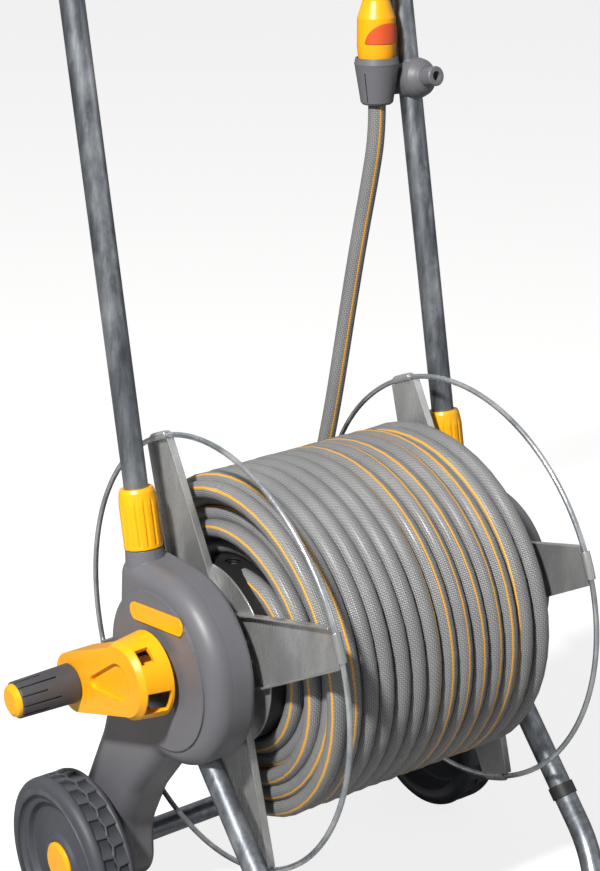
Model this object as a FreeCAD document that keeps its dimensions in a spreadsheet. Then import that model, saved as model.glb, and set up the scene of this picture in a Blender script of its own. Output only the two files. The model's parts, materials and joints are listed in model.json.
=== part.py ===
import FreeCAD, Part
import math
import os
import Sketcher

# Garden hose reel cart. Every piece is drawn from the drum's axis: X runs along that axis with the
# crank on the -X side, Y points to the rear (the wheels) and Z up. Each placement then adds the same
# shift, which puts the origin on the ground under the middle of the cart's outline. Millimetres.

App = FreeCAD
Vec = App.Vector
doc = App.newDocument("hose_reel_cart")
sheet = doc.addObject("Spreadsheet::Sheet", "sizes")


class Size:
    """A length together with the sheet formula that gives it."""

    def __init__(self, value, formula):
        self.value = float(value)
        self.formula = formula

    def __add__(self, other):
        other = size(other)
        return Size(self.value + other.value, "(%s + %s)" % (self.formula, other.formula))

    def __sub__(self, other):
        other = size(other)
        return Size(self.value - other.value, "(%s - %s)" % (self.formula, other.formula))

    def __mul__(self, other):
        other = size(other)
        return Size(self.value * other.value, "(%s * %s)" % (self.formula, other.formula))

    def __truediv__(self, other):
        other = size(other)
        return Size(self.value / other.value, "(%s / %s)" % (self.formula, other.formula))

    def __radd__(self, other):
        return size(other) + self

    def __rsub__(self, other):
        return size(other) - self

    def __rmul__(self, other):
        return size(other) * self

    def __neg__(self):
        return size(0) - self


def size(number):
    """A plain number as a Size."""
    return number if isinstance(number, Size) else Size(number, "(%.9g)" % number)


def cell(alias, value, note):
    """Write one driving dimension into the sheet."""
    row = cell.rows = cell.rows + 1
    sheet.set("A%d" % row, alias)
    sheet.set("B%d" % row, "%g" % value)
    sheet.setAlias("B%d" % row, alias)
    sheet.set("C%d" % row, note)
    return Size(value, "sizes." + alias)


cell.rows = 0

# ---- driving dimensions --------------------------------------------------------------------------

axis_height = cell("axis_height", 322, "drum axis above the ground")
wheel_radius = cell("wheel_radius", 84.5, "over the tread blocks")
wheel_width = cell("wheel_width", 42, "tread width")
wheel_gap = cell("wheel_gap", 7, "hub face to the wheel's inner face")
wheel_back = cell("wheel_back", 117, "wheel axle behind the drum axis")
wheel_cap_radius = cell("wheel_cap_radius", 21, "cap over the axle's end")
tread_depth = cell("tread_depth", 4.5, "tread block height")
axle_radius = cell("axle_radius", 10.5, "wheel axle tube")
tube_radius = cell("tube_radius", 11, "frame tube outside")
tube_wall = cell("tube_wall", 1.5, "frame tube wall")
handle_half = cell("handle_half", 178, "handle tube from the mid plane")
handle_back = cell("handle_back", 32, "handle tube behind the drum axis at its height")
handle_lean = cell("handle_lean", 10.8, "handle lean to the rear in degrees")
handle_rise = cell("handle_rise", 665, "top bar centre along the leaning tube")
handle_foot = cell("handle_foot", 25, "handle tube's lower end along the leaning tube")
handle_bend = cell("handle_bend", 70, "centre line radius of the top bends")
handle_stroke = cell("handle_stroke", 100, "how far the handle slides down")
grip_bar_length = cell("grip_bar_length", 180, "soft grip on the top bar")
grip_wall = cell("grip_wall", 4, "soft grip's thickness over the tube")
grip_bar_radius = tube_radius + grip_wall
leg_inward = cell("leg_inward", 5, "leg tube inward of the handle tube")
leg_half = handle_half - leg_inward
leg_exit_y = cell("leg_exit_y", -45, "leg centre line where it leaves the hub")
leg_exit_z = cell("leg_exit_z", -84, "leg centre line where it leaves the hub")
leg_inside = cell("leg_inside", 40, "length of leg held in the hub")
foot_front = cell("foot_front", 249, "foot bar centre ahead of the drum axis")
foot_bend = cell("foot_bend", 137, "centre line radius of the foot corners")
foot_arm = cell("foot_arm", 170, "foot bar centre to the joint with the leg")
swage_length = cell("swage_length", 30, "reduced leg end inside the foot tube")
ferrule_length = cell("ferrule_length", 12, "black sleeve over the joint")

hub_inward = cell("hub_inward", 23, "hub's inner face inward of the handle tube's centre")
hub_outward = cell("hub_outward", 20, "hub's outer face outward of the handle tube's centre")
hub_inner = handle_half - hub_inward
hub_seam = handle_half + 0
hub_outer = handle_half + hub_outward
hub_wall = cell("hub_wall", 3, "shell wall")
hub_round = cell("hub_round", 16, "rounding of the outer face's edge")
lobe_radius = cell("lobe_radius", 89.2, "round part of the hub about the drum axis")
boss_radius = cell("boss_radius", 35.9, "hub's lower end about the wheel axle")
step_radius = cell("step_radius", 73, "round pad raised on the hub face")
step_height = cell("step_height", 2, "height of that pad")
neck_top = cell("neck_top", 97, "neck's top along the leaning tube")
neck_radius = cell("neck_radius", 17, "neck's radius at its top")
neck_flare = cell("neck_flare", 20, "neck's radius where it leaves the hub")
spigot_length = cell("spigot_length", 24, "split sleeve above the neck, inside the collar")
spigot_radius = cell("spigot_radius", 14, "that sleeve's outside")
screw_radius = cell("screw_radius", 2, "hub screw shank")
collar_length = cell("collar_length", 54, "twist collar")
collar_radius = cell("collar_radius", 17.5, "twist collar over the flutes")
badge_length = cell("badge_length", 85, "bare pill plate on the hub face")
badge_width = cell("badge_width", 16.5, "same plate across")

shaft_radius = cell("shaft_radius", 12, "drum shafts")
bush_wall = cell("bush_wall", 5, "drum bush wall")
running_fit = cell("running_fit", 0.08, "radial clearance of shafts in bores")
loose_fit = cell("loose_fit", 0.3, "clearance of sliding and turning plastic pieces")
core_radius = cell("core_radius", 84, "drum core outside")
core_gap = cell("core_gap", 18, "drum core's end to the hub's inner face")
core_half = hub_inner - core_gap
sheet_wall = cell("sheet_wall", 1.5, "pressed steel and core wall")
ring_radius = cell("ring_radius", 200, "wire ring's centre line")
wire_radius = cell("wire_radius", 2.5, "wire ring's section")
spoke_turn = cell("spoke_turn", 22.5, "first spoke's angle from upright to the rear in degrees")
lip_height = cell("lip_height", 7, "folded lips of the spokes")
coil_gap = cell("coil_gap", 9, "wound hose to the core's end")
coil_half = core_half - coil_gap
coil_radius = cell("coil_radius", 160, "outside of the wound hose")

crank_reach = cell("crank_reach", 91.3, "drum axis to grip axis")
crank_turn = cell("crank_turn", -22, "crank arm's angle below the rear in degrees")
crank_gap = cell("crank_gap", 8, "hub face to the crank's rim")
crank_depth = cell("crank_depth", 31, "crank from its rim to its outer face")
crank_inner = hub_outer + crank_gap
crank_outer = crank_inner + crank_depth
crank_rim = cell("crank_rim", 39, "crank cup's radius at its rim")
crank_face = cell("crank_face", 34.5, "crank cup's radius at its outer face")
crank_tip = cell("crank_tip", 28, "arm's round end")
grip_length = cell("grip_length", 59, "turning grip")
grip_root = cell("grip_root", 18.5, "grip's radius at the arm")
grip_end = cell("grip_end", 17, "grip's radius at its end")
spindle_radius = cell("spindle_radius", 4, "grip spindle")
cap_length = cell("cap_length", 5, "grip's end cap")

hose_radius = cell("hose_radius", 8.5, "hose outside")
holder_place = cell("holder_place", 475, "nozzle holder along the leaning tube")
pouch_wall = cell("pouch_wall", 2.5, "nozzle pouch wall")
pouch_foot = cell("pouch_foot", 15.5, "nozzle cup's radius at its foot")
pouch_drop = cell("pouch_drop", 20, "cup's foot below the holder's centre")
pouch_height = cell("pouch_height", 44, "nozzle cup")
clamp_half = cell("clamp_half", 13, "half the height of the holder's tube clamp")
dome_radius = cell("dome_radius", 19, "dome on the holder's clamp")
nub_radius = cell("nub_radius", 9.25, "parking spigot on the dome")
nub_length = cell("nub_length", 14, "parking spigot")
nozzle_length = cell("nozzle_length", 95, "nozzle above its connector")
nozzle_lean = cell("nozzle_lean", 2, "nozzle and pouch lean to the rear in degrees")
nozzle_radius = cell("nozzle_radius", 18.5, "nozzle body")
inlet_radius = cell("inlet_radius", 8.5, "water inlet nipple")
inlet_length = cell("inlet_length", 24, "water inlet nipple")

doc.recompute()

wheel_half = hub_outer + wheel_gap + wheel_width
wheel_well = wheel_half - 14
axle_half = wheel_half - 10
pouch_top = nozzle_radius + loose_fit + pouch_wall
pouch_floor = pouch_wall - pouch_drop
axle_z = wheel_radius - axis_height
rearmost = max(wheel_back + wheel_radius, ring_radius + wire_radius, key=lambda reach: reach.value)
shift_x = (crank_outer + grip_length + cap_length - wheel_half) / 2
shift_y = (foot_front + tube_radius - rearmost) / 2

# ---- helpers -------------------------------------------------------------------------------------

nodes = []
ALONG_X = App.Rotation(Vec(0, 1, 0), 90)
UPRIGHT = App.Rotation()
LEANING = App.Rotation(Vec(1, 0, 0), -handle_lean.value)
NOZZLE_LEANING = App.Rotation(Vec(1, 0, 0), -nozzle_lean.value)


def bind(feature, prop, length):
    """Bind one property of a feature to the sheet."""
    feature.setExpression(prop, size(length).formula)


def seat(piece, x=0, y=0, z=0, rotation=UPRIGHT):
    """Place a piece at a point measured from the drum's axis."""
    piece.Placement = App.Placement(Vec(0, 0, 0), rotation)
    bind(piece, "Placement.Base.x", x + shift_x)
    bind(piece, "Placement.Base.y", y + shift_y)
    bind(piece, "Placement.Base.z", z + axis_height)
    return piece


def keep(piece, label):
    """Make a piece one of the cart's nodes."""
    piece.Label = label
    nodes.append(piece)
    return piece


def new_body(name):
    return doc.addObject("PartDesign::Body", name)


def sketch(body, role, name, lift=0):
    """An empty sketch on one of the body's own origin planes, lifted along its normal."""
    plane = [item for item in body.Origin.OriginFeatures if item.Role == role][0]
    drawing = body.newObject("Sketcher::SketchObject", name)
    drawing.AttachmentSupport = [(plane, "")]
    drawing.MapMode = "FlatFace"
    bind(drawing, "AttachmentOffset.Base.z", lift)
    return drawing


def pin_point(drawing, edge, end, point):
    """Hold one sketch point at its two distances from the sketch's origin."""
    for kind, length in zip(("DistanceX", "DistanceY"), point):
        length = size(length)
        number = drawing.addConstraint(Sketcher.Constraint(kind, -1, 1, edge, end, length.value))
        bind(drawing, "Constraints[%d]" % number, length)


def polygon(drawing, points):
    """A closed outline of straight edges."""
    corners = [Vec(size(u).value, size(v).value, 0) for u, v in points]
    first = drawing.GeometryCount
    total = len(points)
    for number in range(total):
        drawing.addGeometry(Part.LineSegment(corners[number], corners[(number + 1) % total]), False)
    for number in range(total):
        joined = first + (number + 1) % total
        drawing.addConstraint(Sketcher.Constraint("Coincident", first + number, 2, joined, 1))
    for number in range(total):
        pin_point(drawing, first + number, 1, points[number])


def circle(drawing, u, v, radius):
    """A circle with its centre and radius bound to the sheet."""
    radius = size(radius)
    place = Vec(size(u).value, size(v).value, 0)
    edge = drawing.addGeometry(Part.Circle(place, Vec(0, 0, 1), radius.value), False)
    pin_point(drawing, edge, 3, (u, v))
    number = drawing.addConstraint(Sketcher.Constraint("Radius", edge, radius.value))
    bind(drawing, "Constraints[%d]" % number, radius)


def pad(body, drawing, length, backward=False):
    feature = body.newObject("PartDesign::Pad", "pad")
    feature.Profile = drawing
    bind(feature, "Length", length)
    feature.Reversed = backward
    doc.recompute()
    return feature


def pocket(body, drawing, depth, backward=False):
    """Cut a pocket and make sure that it took material away."""
    before = body.Shape.Volume
    feature = body.newObject("PartDesign::Pocket", "pocket")
    feature.Profile = drawing
    bind(feature, "Length", depth)
    feature.Reversed = backward
    doc.recompute()
    if body.Shape.Volume > before - 0.1:
        raise RuntimeError("pocket in %s cuts nothing" % body.Label)
    return feature


def revolve(body, drawing, axis):
    feature = body.newObject("PartDesign::Revolution", "turned")
    feature.Profile = drawing
    feature.ReferenceAxis = (drawing, [axis])
    feature.Angle = 360
    doc.recompute()
    return feature


def turned(name, points, axis="X"):
    """A turned piece. About X its points are (x, radius), about Z they are (radius, z)."""
    body = new_body(name)
    drawing = sketch(body, "XZ_Plane", name + "_profile")
    polygon(drawing, points)
    revolve(body, drawing, "H_Axis" if axis == "X" else "V_Axis")
    return body


def pipe(name, inner, outer, start, end, axis="Z"):
    """A straight round tube from start to end along its axis."""
    if axis == "X":
        return turned(name, [(start, inner), (end, inner), (end, outer), (start, outer)], "X")
    return turned(name, [(inner, start), (outer, start), (outer, end), (inner, end)], "Z")


def rod(name, radius, length):
    """A plain cylinder standing on its own origin."""
    piece = doc.addObject("Part::Cylinder", name)
    bind(piece, "Radius", radius)
    bind(piece, "Height", length)
    return piece


def rod_x(name, radius, start, end, y=0, z=0):
    """A plain cylinder along X between two distances from the mid plane."""
    low, high = (start, end) if size(start).value < size(end).value else (end, start)
    return seat(rod(name, radius, high - low), low, y, z, ALONG_X)


def box(name, length, width, height):
    piece = doc.addObject("Part::Box", name)
    bind(piece, "Length", length)
    bind(piece, "Width", width)
    bind(piece, "Height", height)
    return piece


def fuse(name, pieces):
    piece = doc.addObject("Part::MultiFuse", name)
    piece.Shapes = pieces
    return piece


def cut(name, base, tools):
    piece = doc.addObject("Part::Cut", name)
    piece.Base = base
    piece.Tool = tools[0] if len(tools) == 1 else fuse(name + "_tools", tools)
    return piece


def common(name, base, tool):
    piece = doc.addObject("Part::Common", name)
    piece.Base = base
    piece.Tool = tool
    return piece


def group(name, pieces):
    piece = doc.addObject("Part::Compound", name)
    piece.Links = pieces
    return piece


def upright_edges(shape, corner):
    """Edges along X that stand at one corner (y, z) of an outline."""
    names = []
    for number, edge in enumerate(shape.Edges):
        bounds = edge.BoundBox
        along = bounds.XLength > 1 and bounds.YLength + bounds.ZLength < 0.001
        if along and abs(bounds.YMin - corner[0]) + abs(bounds.ZMin - corner[1]) < 0.01:
            names.append("Edge%d" % (number + 1))
    return names


def round_edges(body, names, radius):
    base = body.Tip
    feature = body.newObject("PartDesign::Fillet", "round")
    feature.Base = (base, names)
    bind(feature, "Radius", radius)
    doc.recompute()
    return feature


def u_tube(name, half_width, low, high, bend, inner, outer):
    """A tube bent into a U in its own XZ plane, from low to high, with the bar at high."""
    body = new_body(name)
    spine = sketch(body, "XZ_Plane", name + "_line")
    sign = 1 if high.value > low.value else -1
    half, bottom, top, turn = half_width.value, low.value, high.value, bend.value
    shoulder = top - sign * turn
    left = Vec(turn - half, shoulder, 0)
    right = Vec(half - turn, shoulder, 0)
    spine.addGeometry(Part.LineSegment(Vec(-half, bottom, 0), Vec(-half, shoulder, 0)), False)
    spine.addGeometry(quarter_arc(left, turn, -1, sign), False)
    spine.addGeometry(Part.LineSegment(Vec(turn - half, top, 0), Vec(half - turn, top, 0)), False)
    spine.addGeometry(quarter_arc(right, turn, 1, sign), False)
    spine.addGeometry(Part.LineSegment(Vec(half, shoulder, 0), Vec(half, bottom, 0)), False)
    pin_point(spine, 0, 1, (-half_width, low))
    pin_point(spine, 4, 2, (half_width, low))
    left_side, right_side = -half_width, half_width
    level = high - bend if sign > 0 else high + bend
    pin_point(spine, 0, 2, (left_side, level))
    pin_point(spine, 4, 1, (right_side, level))
    pin_point(spine, 2, 1, (bend - half_width, high))
    pin_point(spine, 2, 2, (half_width - bend, high))
    for arc, before, after in ((1, 0, 2), (3, 2, 4)):
        # An arc runs against the clock, so above its centre it ends where the line before it ends.
        ends = (2, 1) if sign > 0 else (1, 2)
        spine.addConstraint(Sketcher.Constraint("Coincident", before, 2, arc, ends[0]))
        spine.addConstraint(Sketcher.Constraint("Coincident", arc, ends[1], after, 1))
        number = spine.addConstraint(Sketcher.Constraint("Radius", arc, bend.value))
        bind(spine, "Constraints[%d]" % number, bend)
    ring = sketch(body, "XY_Plane", name + "_section", low)
    circle(ring, -half_width, 0, outer)
    circle(ring, -half_width, 0, inner)
    feature = body.newObject("PartDesign::AdditivePipe", "bent_tube")
    feature.Profile = ring
    feature.Spine = spine
    doc.recompute()
    return body


def quarter_arc(centre, radius, side, sign):
    """A quarter circle in the corner that lies to one side and above or below its centre."""
    start = {(-1, 1): 90, (1, 1): 0, (-1, -1): 180, (1, -1): 270}[(side, sign)]
    ring = Part.Circle(centre, Vec(0, 0, 1), radius)
    return Part.ArcOfCircle(ring, math.radians(start), math.radians(start + 90))


# ---- hubs ----------------------------------------------------------------------------------------

# Corners of the hub's side view as (y, z, rounding): a round lobe about the drum axis, the neck's
# shoulder behind it and an arm that runs back and down to the wheel axle.
boss_back = wheel_back + boss_radius + 0.1
boss_front = wheel_back - boss_radius - 0.1
boss_low = axle_z - boss_radius - 0.1
HUB_CORNERS = [
    (handle_back + 34, lobe_radius, size(18)),
    (-lobe_radius, lobe_radius, lobe_radius - 3),
    (-lobe_radius, -lobe_radius, lobe_radius - 3),
    (size(3), -lobe_radius, size(12)),
    (wheel_back - 63, axle_z + 85.5, size(80)),
    (boss_front, axle_z + 34.5, size(60)),
    (boss_front, boss_low, boss_radius),
    (boss_back, boss_low, boss_radius),
    (boss_back, axle_z + 51.5, size(50)),
    (wheel_back - 8, axle_z + 135.5, size(60)),
    (handle_back + 42, size(-2), size(60)),
]
SCREW_PLACES = [
    (-0.72 * lobe_radius, 0.2 * lobe_radius),
    (-0.3 * lobe_radius, 0.74 * lobe_radius),
    (0.68 * lobe_radius, -0.52 * lobe_radius),
    (wheel_back - 10, axle_z + 66),
    (-0.72 * lobe_radius, -0.3 * lobe_radius),
]


def hub_blank(name, side, start, end, rounding):
    """One hollow shell of a hub, open at the seam."""
    body = new_body(name)
    outward = size(end).value > size(start).value
    drawing = sketch(body, "YZ_Plane", name + "_outline", side * start)
    polygon(drawing, [corner[:2] for corner in HUB_CORNERS])
    thickness = end - start if outward else start - end
    pad(body, drawing, thickness, backward=(side > 0) != outward)
    for y, z, radius in HUB_CORNERS:
        round_edges(body, upright_edges(body.Shape, (y.value, z.value)), radius)
    face_x = side * size(end).value
    edges = enumerate(body.Shape.Edges)
    rim = ["Edge%d" % (n + 1) for n, edge in edges if abs(edge.BoundBox.XMin - face_x)
           + abs(edge.BoundBox.XMax - face_x) < 0.01]
    round_edges(body, rim, rounding)
    seam_x = side * size(start).value
    faces = enumerate(body.Shape.Faces)
    seam = ["Face%d" % (n + 1) for n, face in faces if abs(face.BoundBox.XMin - seam_x)
            + abs(face.BoundBox.XMax - seam_x) < 0.01]
    base = body.Tip
    hollow = body.newObject("PartDesign::Thickness", "hollow")
    hollow.Base = (base, seam)
    bind(hollow, "Value", hub_wall)
    hollow.Reversed = True
    doc.recompute()
    return seat(body)


def leaning_rod(name, radius, x, low, high):
    """A cylinder on the leaning centre line of a handle tube."""
    body = turned(name, [(0, low), (radius, low), (radius, high), (0, high)], "Z")
    return seat(body, x, handle_back, 0, LEANING)


leg_rise = Size(
    math.hypot(foot_front.value + leg_exit_y.value,
               axis_height.value - tube_radius.value + leg_exit_z.value),
    "sqrt(pow((sizes.foot_front + sizes.leg_exit_y); 2) + "
    "pow((sizes.axis_height - sizes.tube_radius + sizes.leg_exit_z); 2))",
)
leg_top = leg_rise + leg_inside
leg_angle = math.degrees(
    math.atan2(
        foot_front.value + leg_exit_y.value,
        axis_height.value - tube_radius.value + leg_exit_z.value,
    )
)
LEG_LEAN = App.Rotation(Vec(1, 0, 0), -leg_angle)
foot_z = tube_radius - axis_height


def leg_rod(name, radius, x, low, high):
    """A cylinder on the leg's centre line, measured up from the foot bar."""
    body = turned(name, [(0, low), (radius, low), (radius, high), (0, high)], "Z")
    return seat(body, x, -foot_front, foot_z, LEG_LEAN)


def hub_holes(tag, side):
    """Everything that passes through both shells of one hub."""
    bush_radius = shaft_radius + bush_wall
    holes = [
        rod_x(tag + "_bush_hole", bush_radius, side * (hub_inner - 5), side * (hub_outer + 9)),
        rod_x(tag + "_axle_hole", axle_radius, side * (hub_inner - 5), side * (hub_outer + 9),
              wheel_back, axle_z),
        leaning_rod(tag + "_tube_hole", tube_radius + loose_fit, side * handle_half,
                    handle_foot - handle_stroke - 8, neck_top + spigot_length + 5),
        leg_rod(tag + "_leg_hole", tube_radius, side * leg_half, foot_arm, leg_top),
    ]
    for number, (y, z) in enumerate(SCREW_PLACES):
        holes.append(rod_x("%s_screw_hole_%d" % (tag, number), screw_radius,
                           side * (hub_inner - 5), side * (hub_outer - hub_wall - 2), y, z))
    return holes


def hub_neck(tag, side):
    """The flared neck and the split sleeve above it, on the handle tube's line."""
    profile = [
        (0, 50), (neck_flare, 50), (neck_flare, 66), (neck_radius + 1, neck_top - 10),
        (neck_radius, neck_top), (spigot_radius, neck_top),
        (spigot_radius, neck_top + spigot_length), (0, neck_top + spigot_length),
    ]
    return seat(turned(tag + "_neck", profile, "Z"), side * handle_half, handle_back, 0, LEANING)


def saddle_block(name, side):
    """A block between the walls that guides the handle tube's lower end."""
    inner = hub_inner + hub_wall / 2
    outer = hub_outer - hub_wall / 2
    width = 2 * tube_radius + 8
    low = handle_foot - handle_stroke
    profile = new_body(name)
    drawing = sketch(profile, "YZ_Plane", "saddle_side", inner if side > 0 else -outer)
    polygon(drawing, [(-width / 2, low), (width / 2, low), (width / 2, low + 34),
                      (-width / 2, low + 34)])
    pad(profile, drawing, outer - inner)
    return seat(profile, 0, handle_back, 0, LEANING)


def hub_pair(tag, side):
    """Outer and inner shell of one hub, with bosses for what they hold."""
    stretches = (("outer", hub_seam, hub_outer, hub_round), ("inner", hub_seam, hub_inner, size(6)))
    for part_name, start, end, rounding in stretches:
        name = "hub_%s_%s" % (part_name, tag)
        pieces = [hub_blank(name + "_blank", side, start, end, rounding)]
        inside = end - hub_wall / 2 if part_name == "outer" else end + hub_wall / 2
        bush_boss = shaft_radius + bush_wall + 5
        pieces.append(rod_x(name + "_bush_boss", bush_boss, side * start, side * inside))
        pieces.append(rod_x(name + "_axle_boss", axle_radius + 6, side * start, side * inside,
                            wheel_back, axle_z))
        for number, (y, z) in enumerate(SCREW_PLACES):
            pieces.append(rod_x("%s_post_%d" % (name, number), screw_radius + 3.5,
                                side * start, side * inside, y, z))
        low, high = (start, end) if start.value < end.value else (end, start)
        slab = seat(box(name + "_slab", high - low, 500, 700), low if side > 0 else -high, -250, -400)
        saddles = [
            hub_neck(name, side),
            saddle_block(name + "_saddle", side),
            leg_rod(name + "_leg_saddle", leg_half - hub_inner - hub_wall / 2, side * leg_half,
                    leg_rise + 9, leg_top + 2),
        ]
        pieces.append(common(name + "_saddles", fuse(name + "_saddle_rods", saddles), slab))
        if part_name == "outer":
            pieces.append(rod_x(name + "_step", step_radius, side * (hub_outer - 1),
                                side * (hub_outer + step_height)))
        keep(cut(name, fuse(name + "_solid", pieces), hub_holes(name, side)), name)


def hub_screws(tag, side):
    """Pan head screws that close a hub from its inner face."""
    screws = []
    for number, (y, z) in enumerate(SCREW_PLACES):
        head_start = side * (hub_inner - 2.5)
        shank = rod_x("screw_shank_%s_%d" % (tag, number), screw_radius, side * (hub_inner - 1),
                      side * (hub_outer - hub_wall - 2.5), y, z)
        head = rod_x("screw_head_%s_%d" % (tag, number), 2 * screw_radius, head_start,
                     side * hub_inner, y, z)
        screws.append(fuse("screw_%s_%d" % (tag, number), [shank, head]))
    keep(group("hub_screws_" + tag, screws), "hub_screws_" + tag)


def badge(tag, side):
    """A bare pill plate on the hub face, a little turned to follow the round pad."""
    radius = badge_width / 2
    straight = badge_length / 2 - radius
    thickness = size(1.5)
    plate = box("badge_mid_" + tag, thickness, 2 * straight, badge_width)
    plate.Placement.Base = Vec(0, -straight.value, -radius.value)
    bind(plate, "Placement.Base.y", -straight)
    bind(plate, "Placement.Base.z", -radius)
    ends = []
    for number, sign in enumerate((-1, 1)):
        end = rod("badge_end_%s_%d" % (tag, number), radius, thickness)
        end.Placement = App.Placement(Vec(0, 0, 0), ALONG_X)
        bind(end, "Placement.Base.y", sign * straight)
        ends.append(end)
    pill = fuse("badge_" + tag, [plate] + ends)
    face = hub_outer + step_height
    start = face if side > 0 else -(face + thickness)
    tilt = App.Rotation(Vec(1, 0, 0), -8)
    keep(seat(pill, start, -3, 0.58 * lobe_radius, tilt), "badge_" + tag)


def drum_bush(tag, side):
    """Flanged bearing bush between a hub and a drum shaft."""
    bore = shaft_radius + running_fit
    outside = shaft_radius + bush_wall
    flange = hub_inner - 3
    end = hub_outer + step_height
    points = [(flange, bore), (end, bore), (end, outside), (hub_inner, outside),
              (hub_inner, outside + 5), (flange, outside + 5)]
    points = [(side * x, radius) for x, radius in points]
    keep(seat(turned("drum_bush_" + tag, points)), "drum_bush_" + tag)


# ---- frame ---------------------------------------------------------------------------------------

def leg(tag, side):
    """A leg tube whose lower end is reduced to fit inside the foot tube."""
    inner = tube_radius - tube_wall
    swaged = inner - tube_wall
    points = [
        (swaged, foot_arm - swage_length), (inner, foot_arm - swage_length), (inner, foot_arm),
        (tube_radius, foot_arm), (tube_radius, leg_top), (inner, leg_top),
        (inner, foot_arm + 4), (swaged, foot_arm),
    ]
    body = turned("leg_" + tag, points, "Z")
    keep(seat(body, side * leg_half, -foot_front, foot_z, LEG_LEAN), "leg_" + tag)


def foot_tube():
    inner = tube_radius - tube_wall
    body = u_tube("foot_tube", leg_half, foot_arm, size(0), foot_bend, inner, tube_radius)
    keep(seat(body, 0, -foot_front, foot_z, LEG_LEAN), "foot_tube")


def leg_ferrules():
    sleeves = []
    for tag, side in SIDES:
        sleeve = pipe("ferrule_" + tag, tube_radius, tube_radius + 1.5,
                      foot_arm - ferrule_length / 2, foot_arm + ferrule_length / 2)
        sleeves.append(seat(sleeve, side * leg_half, -foot_front, foot_z, LEG_LEAN))
    keep(group("leg_ferrules", sleeves), "leg_ferrules")




def axle_rod():
    tube = pipe("axle_rod", axle_radius - 2, axle_radius, -axle_half, axle_half, "X")
    keep(seat(tube, 0, wheel_back, axle_z), "axle_rod")


def axle_clips():
    """Push-on washers that hold each wheel on the axle from both sides."""
    clips = []
    for tag, side in SIDES:
        outer_start = wheel_well + loose_fit
        stretches = (("outer", outer_start, outer_start + 1.5),
                     ("inner", hub_outer + 0.5, hub_outer + 2))
        for place, start, end in stretches:
            ring = pipe("clip_%s_%s" % (place, tag), axle_radius, axle_radius + 4.5,
                        side * start, side * end, "X")
            clips.append(seat(ring, 0, wheel_back, axle_z))
    keep(group("axle_clips", clips), "axle_clips")


# ---- wheels --------------------------------------------------------------------------------------

BLOCKS_PER_ROW = 24


def wheel(tag, side):
    """A one-piece moulded wheel with a dished outer face and two staggered rows of blocks."""
    bore = axle_radius + running_fit
    band = wheel_radius - tread_depth
    inner_face = wheel_half - wheel_width
    points = [
        (inner_face - 4, bore), (wheel_well, bore), (wheel_well, wheel_cap_radius),
        (wheel_half - 6, wheel_cap_radius), (wheel_half - 6, wheel_cap_radius + 5),
        (wheel_half - 9, wheel_cap_radius + 8), (wheel_half - 11, 62), (wheel_half, 68),
        (wheel_half, band - 2), (wheel_half - 2, band), (inner_face + 2, band),
        (inner_face, band - 2), (inner_face, 68), (wheel_half - 22, 62), (wheel_half - 22, 27),
        (inner_face - 4, 22),
    ]
    body = new_body("wheel_" + tag)
    drawing = sketch(body, "XZ_Plane", "wheel_profile")
    polygon(drawing, [(side * x, radius) for x, radius in points])
    revolve(body, drawing, "H_Axis")
    block_width = wheel_width / 2 - 4
    rows = ((inner_face + 1.5, 0), (wheel_half - 1.5 - block_width, 180.0 / BLOCKS_PER_ROW))
    for start, turn in rows:
        face = sketch(body, "YZ_Plane", "block_outline", side * start)
        half_angle = 130.0 / BLOCKS_PER_ROW
        corners = [(band - 1, -half_angle), (wheel_radius, -half_angle + 0.9),
                   (wheel_radius, half_angle - 0.9), (band - 1, half_angle)]
        polygon(face, [(radius * math.sin(math.radians(angle + turn)),
                        -1 * radius * math.cos(math.radians(angle + turn)))
                       for radius, angle in corners])
        block = pad(body, face, block_width, backward=side < 0)
        pattern = body.newObject("PartDesign::PolarPattern", "blocks")
        pattern.Originals = [block]
        pattern.Axis = ([i for i in body.Origin.OriginFeatures if i.Role == "X_Axis"][0], [""])
        pattern.Angle = 360
        pattern.Occurrences = BLOCKS_PER_ROW
        body.Tip = pattern
        doc.recompute()
    keep(seat(body, 0, wheel_back, axle_z), "wheel_" + tag)
    cap_points = [
        (axle_half, 0), (axle_half, wheel_cap_radius), (wheel_half - 5, wheel_cap_radius),
        (wheel_half - 3, wheel_cap_radius - 3), (wheel_half - 3, 0),
    ]
    cap = turned("wheel_cap_" + tag, [(side * x, radius) for x, radius in cap_points])
    keep(seat(cap, 0, wheel_back, axle_z), "wheel_cap_" + tag)


# ---- handle --------------------------------------------------------------------------------------

def handle_tube():
    inner = tube_radius - tube_wall
    body = u_tube("handle_tube", handle_half, handle_foot, handle_rise, handle_bend,
                  inner, tube_radius)
    keep(seat(body, 0, handle_back, 0, LEANING), "handle_tube")


def handle_grip():
    half = grip_bar_length / 2
    bore = tube_radius + 0.05
    body = turned("handle_grip", [
        (-half, bore), (half, bore), (half, grip_bar_radius - 2),
        (half - 2, grip_bar_radius), (2 - half, grip_bar_radius), (-half, grip_bar_radius - 2),
    ])
    # The bar's centre lies along the leaning plane, so its place follows the lean.
    lean = math.radians(handle_lean.value)
    piece = seat(body, 0, handle_back + handle_rise * math.sin(lean),
                 handle_rise * math.cos(lean))
    keep(piece, "handle_grip")


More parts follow.
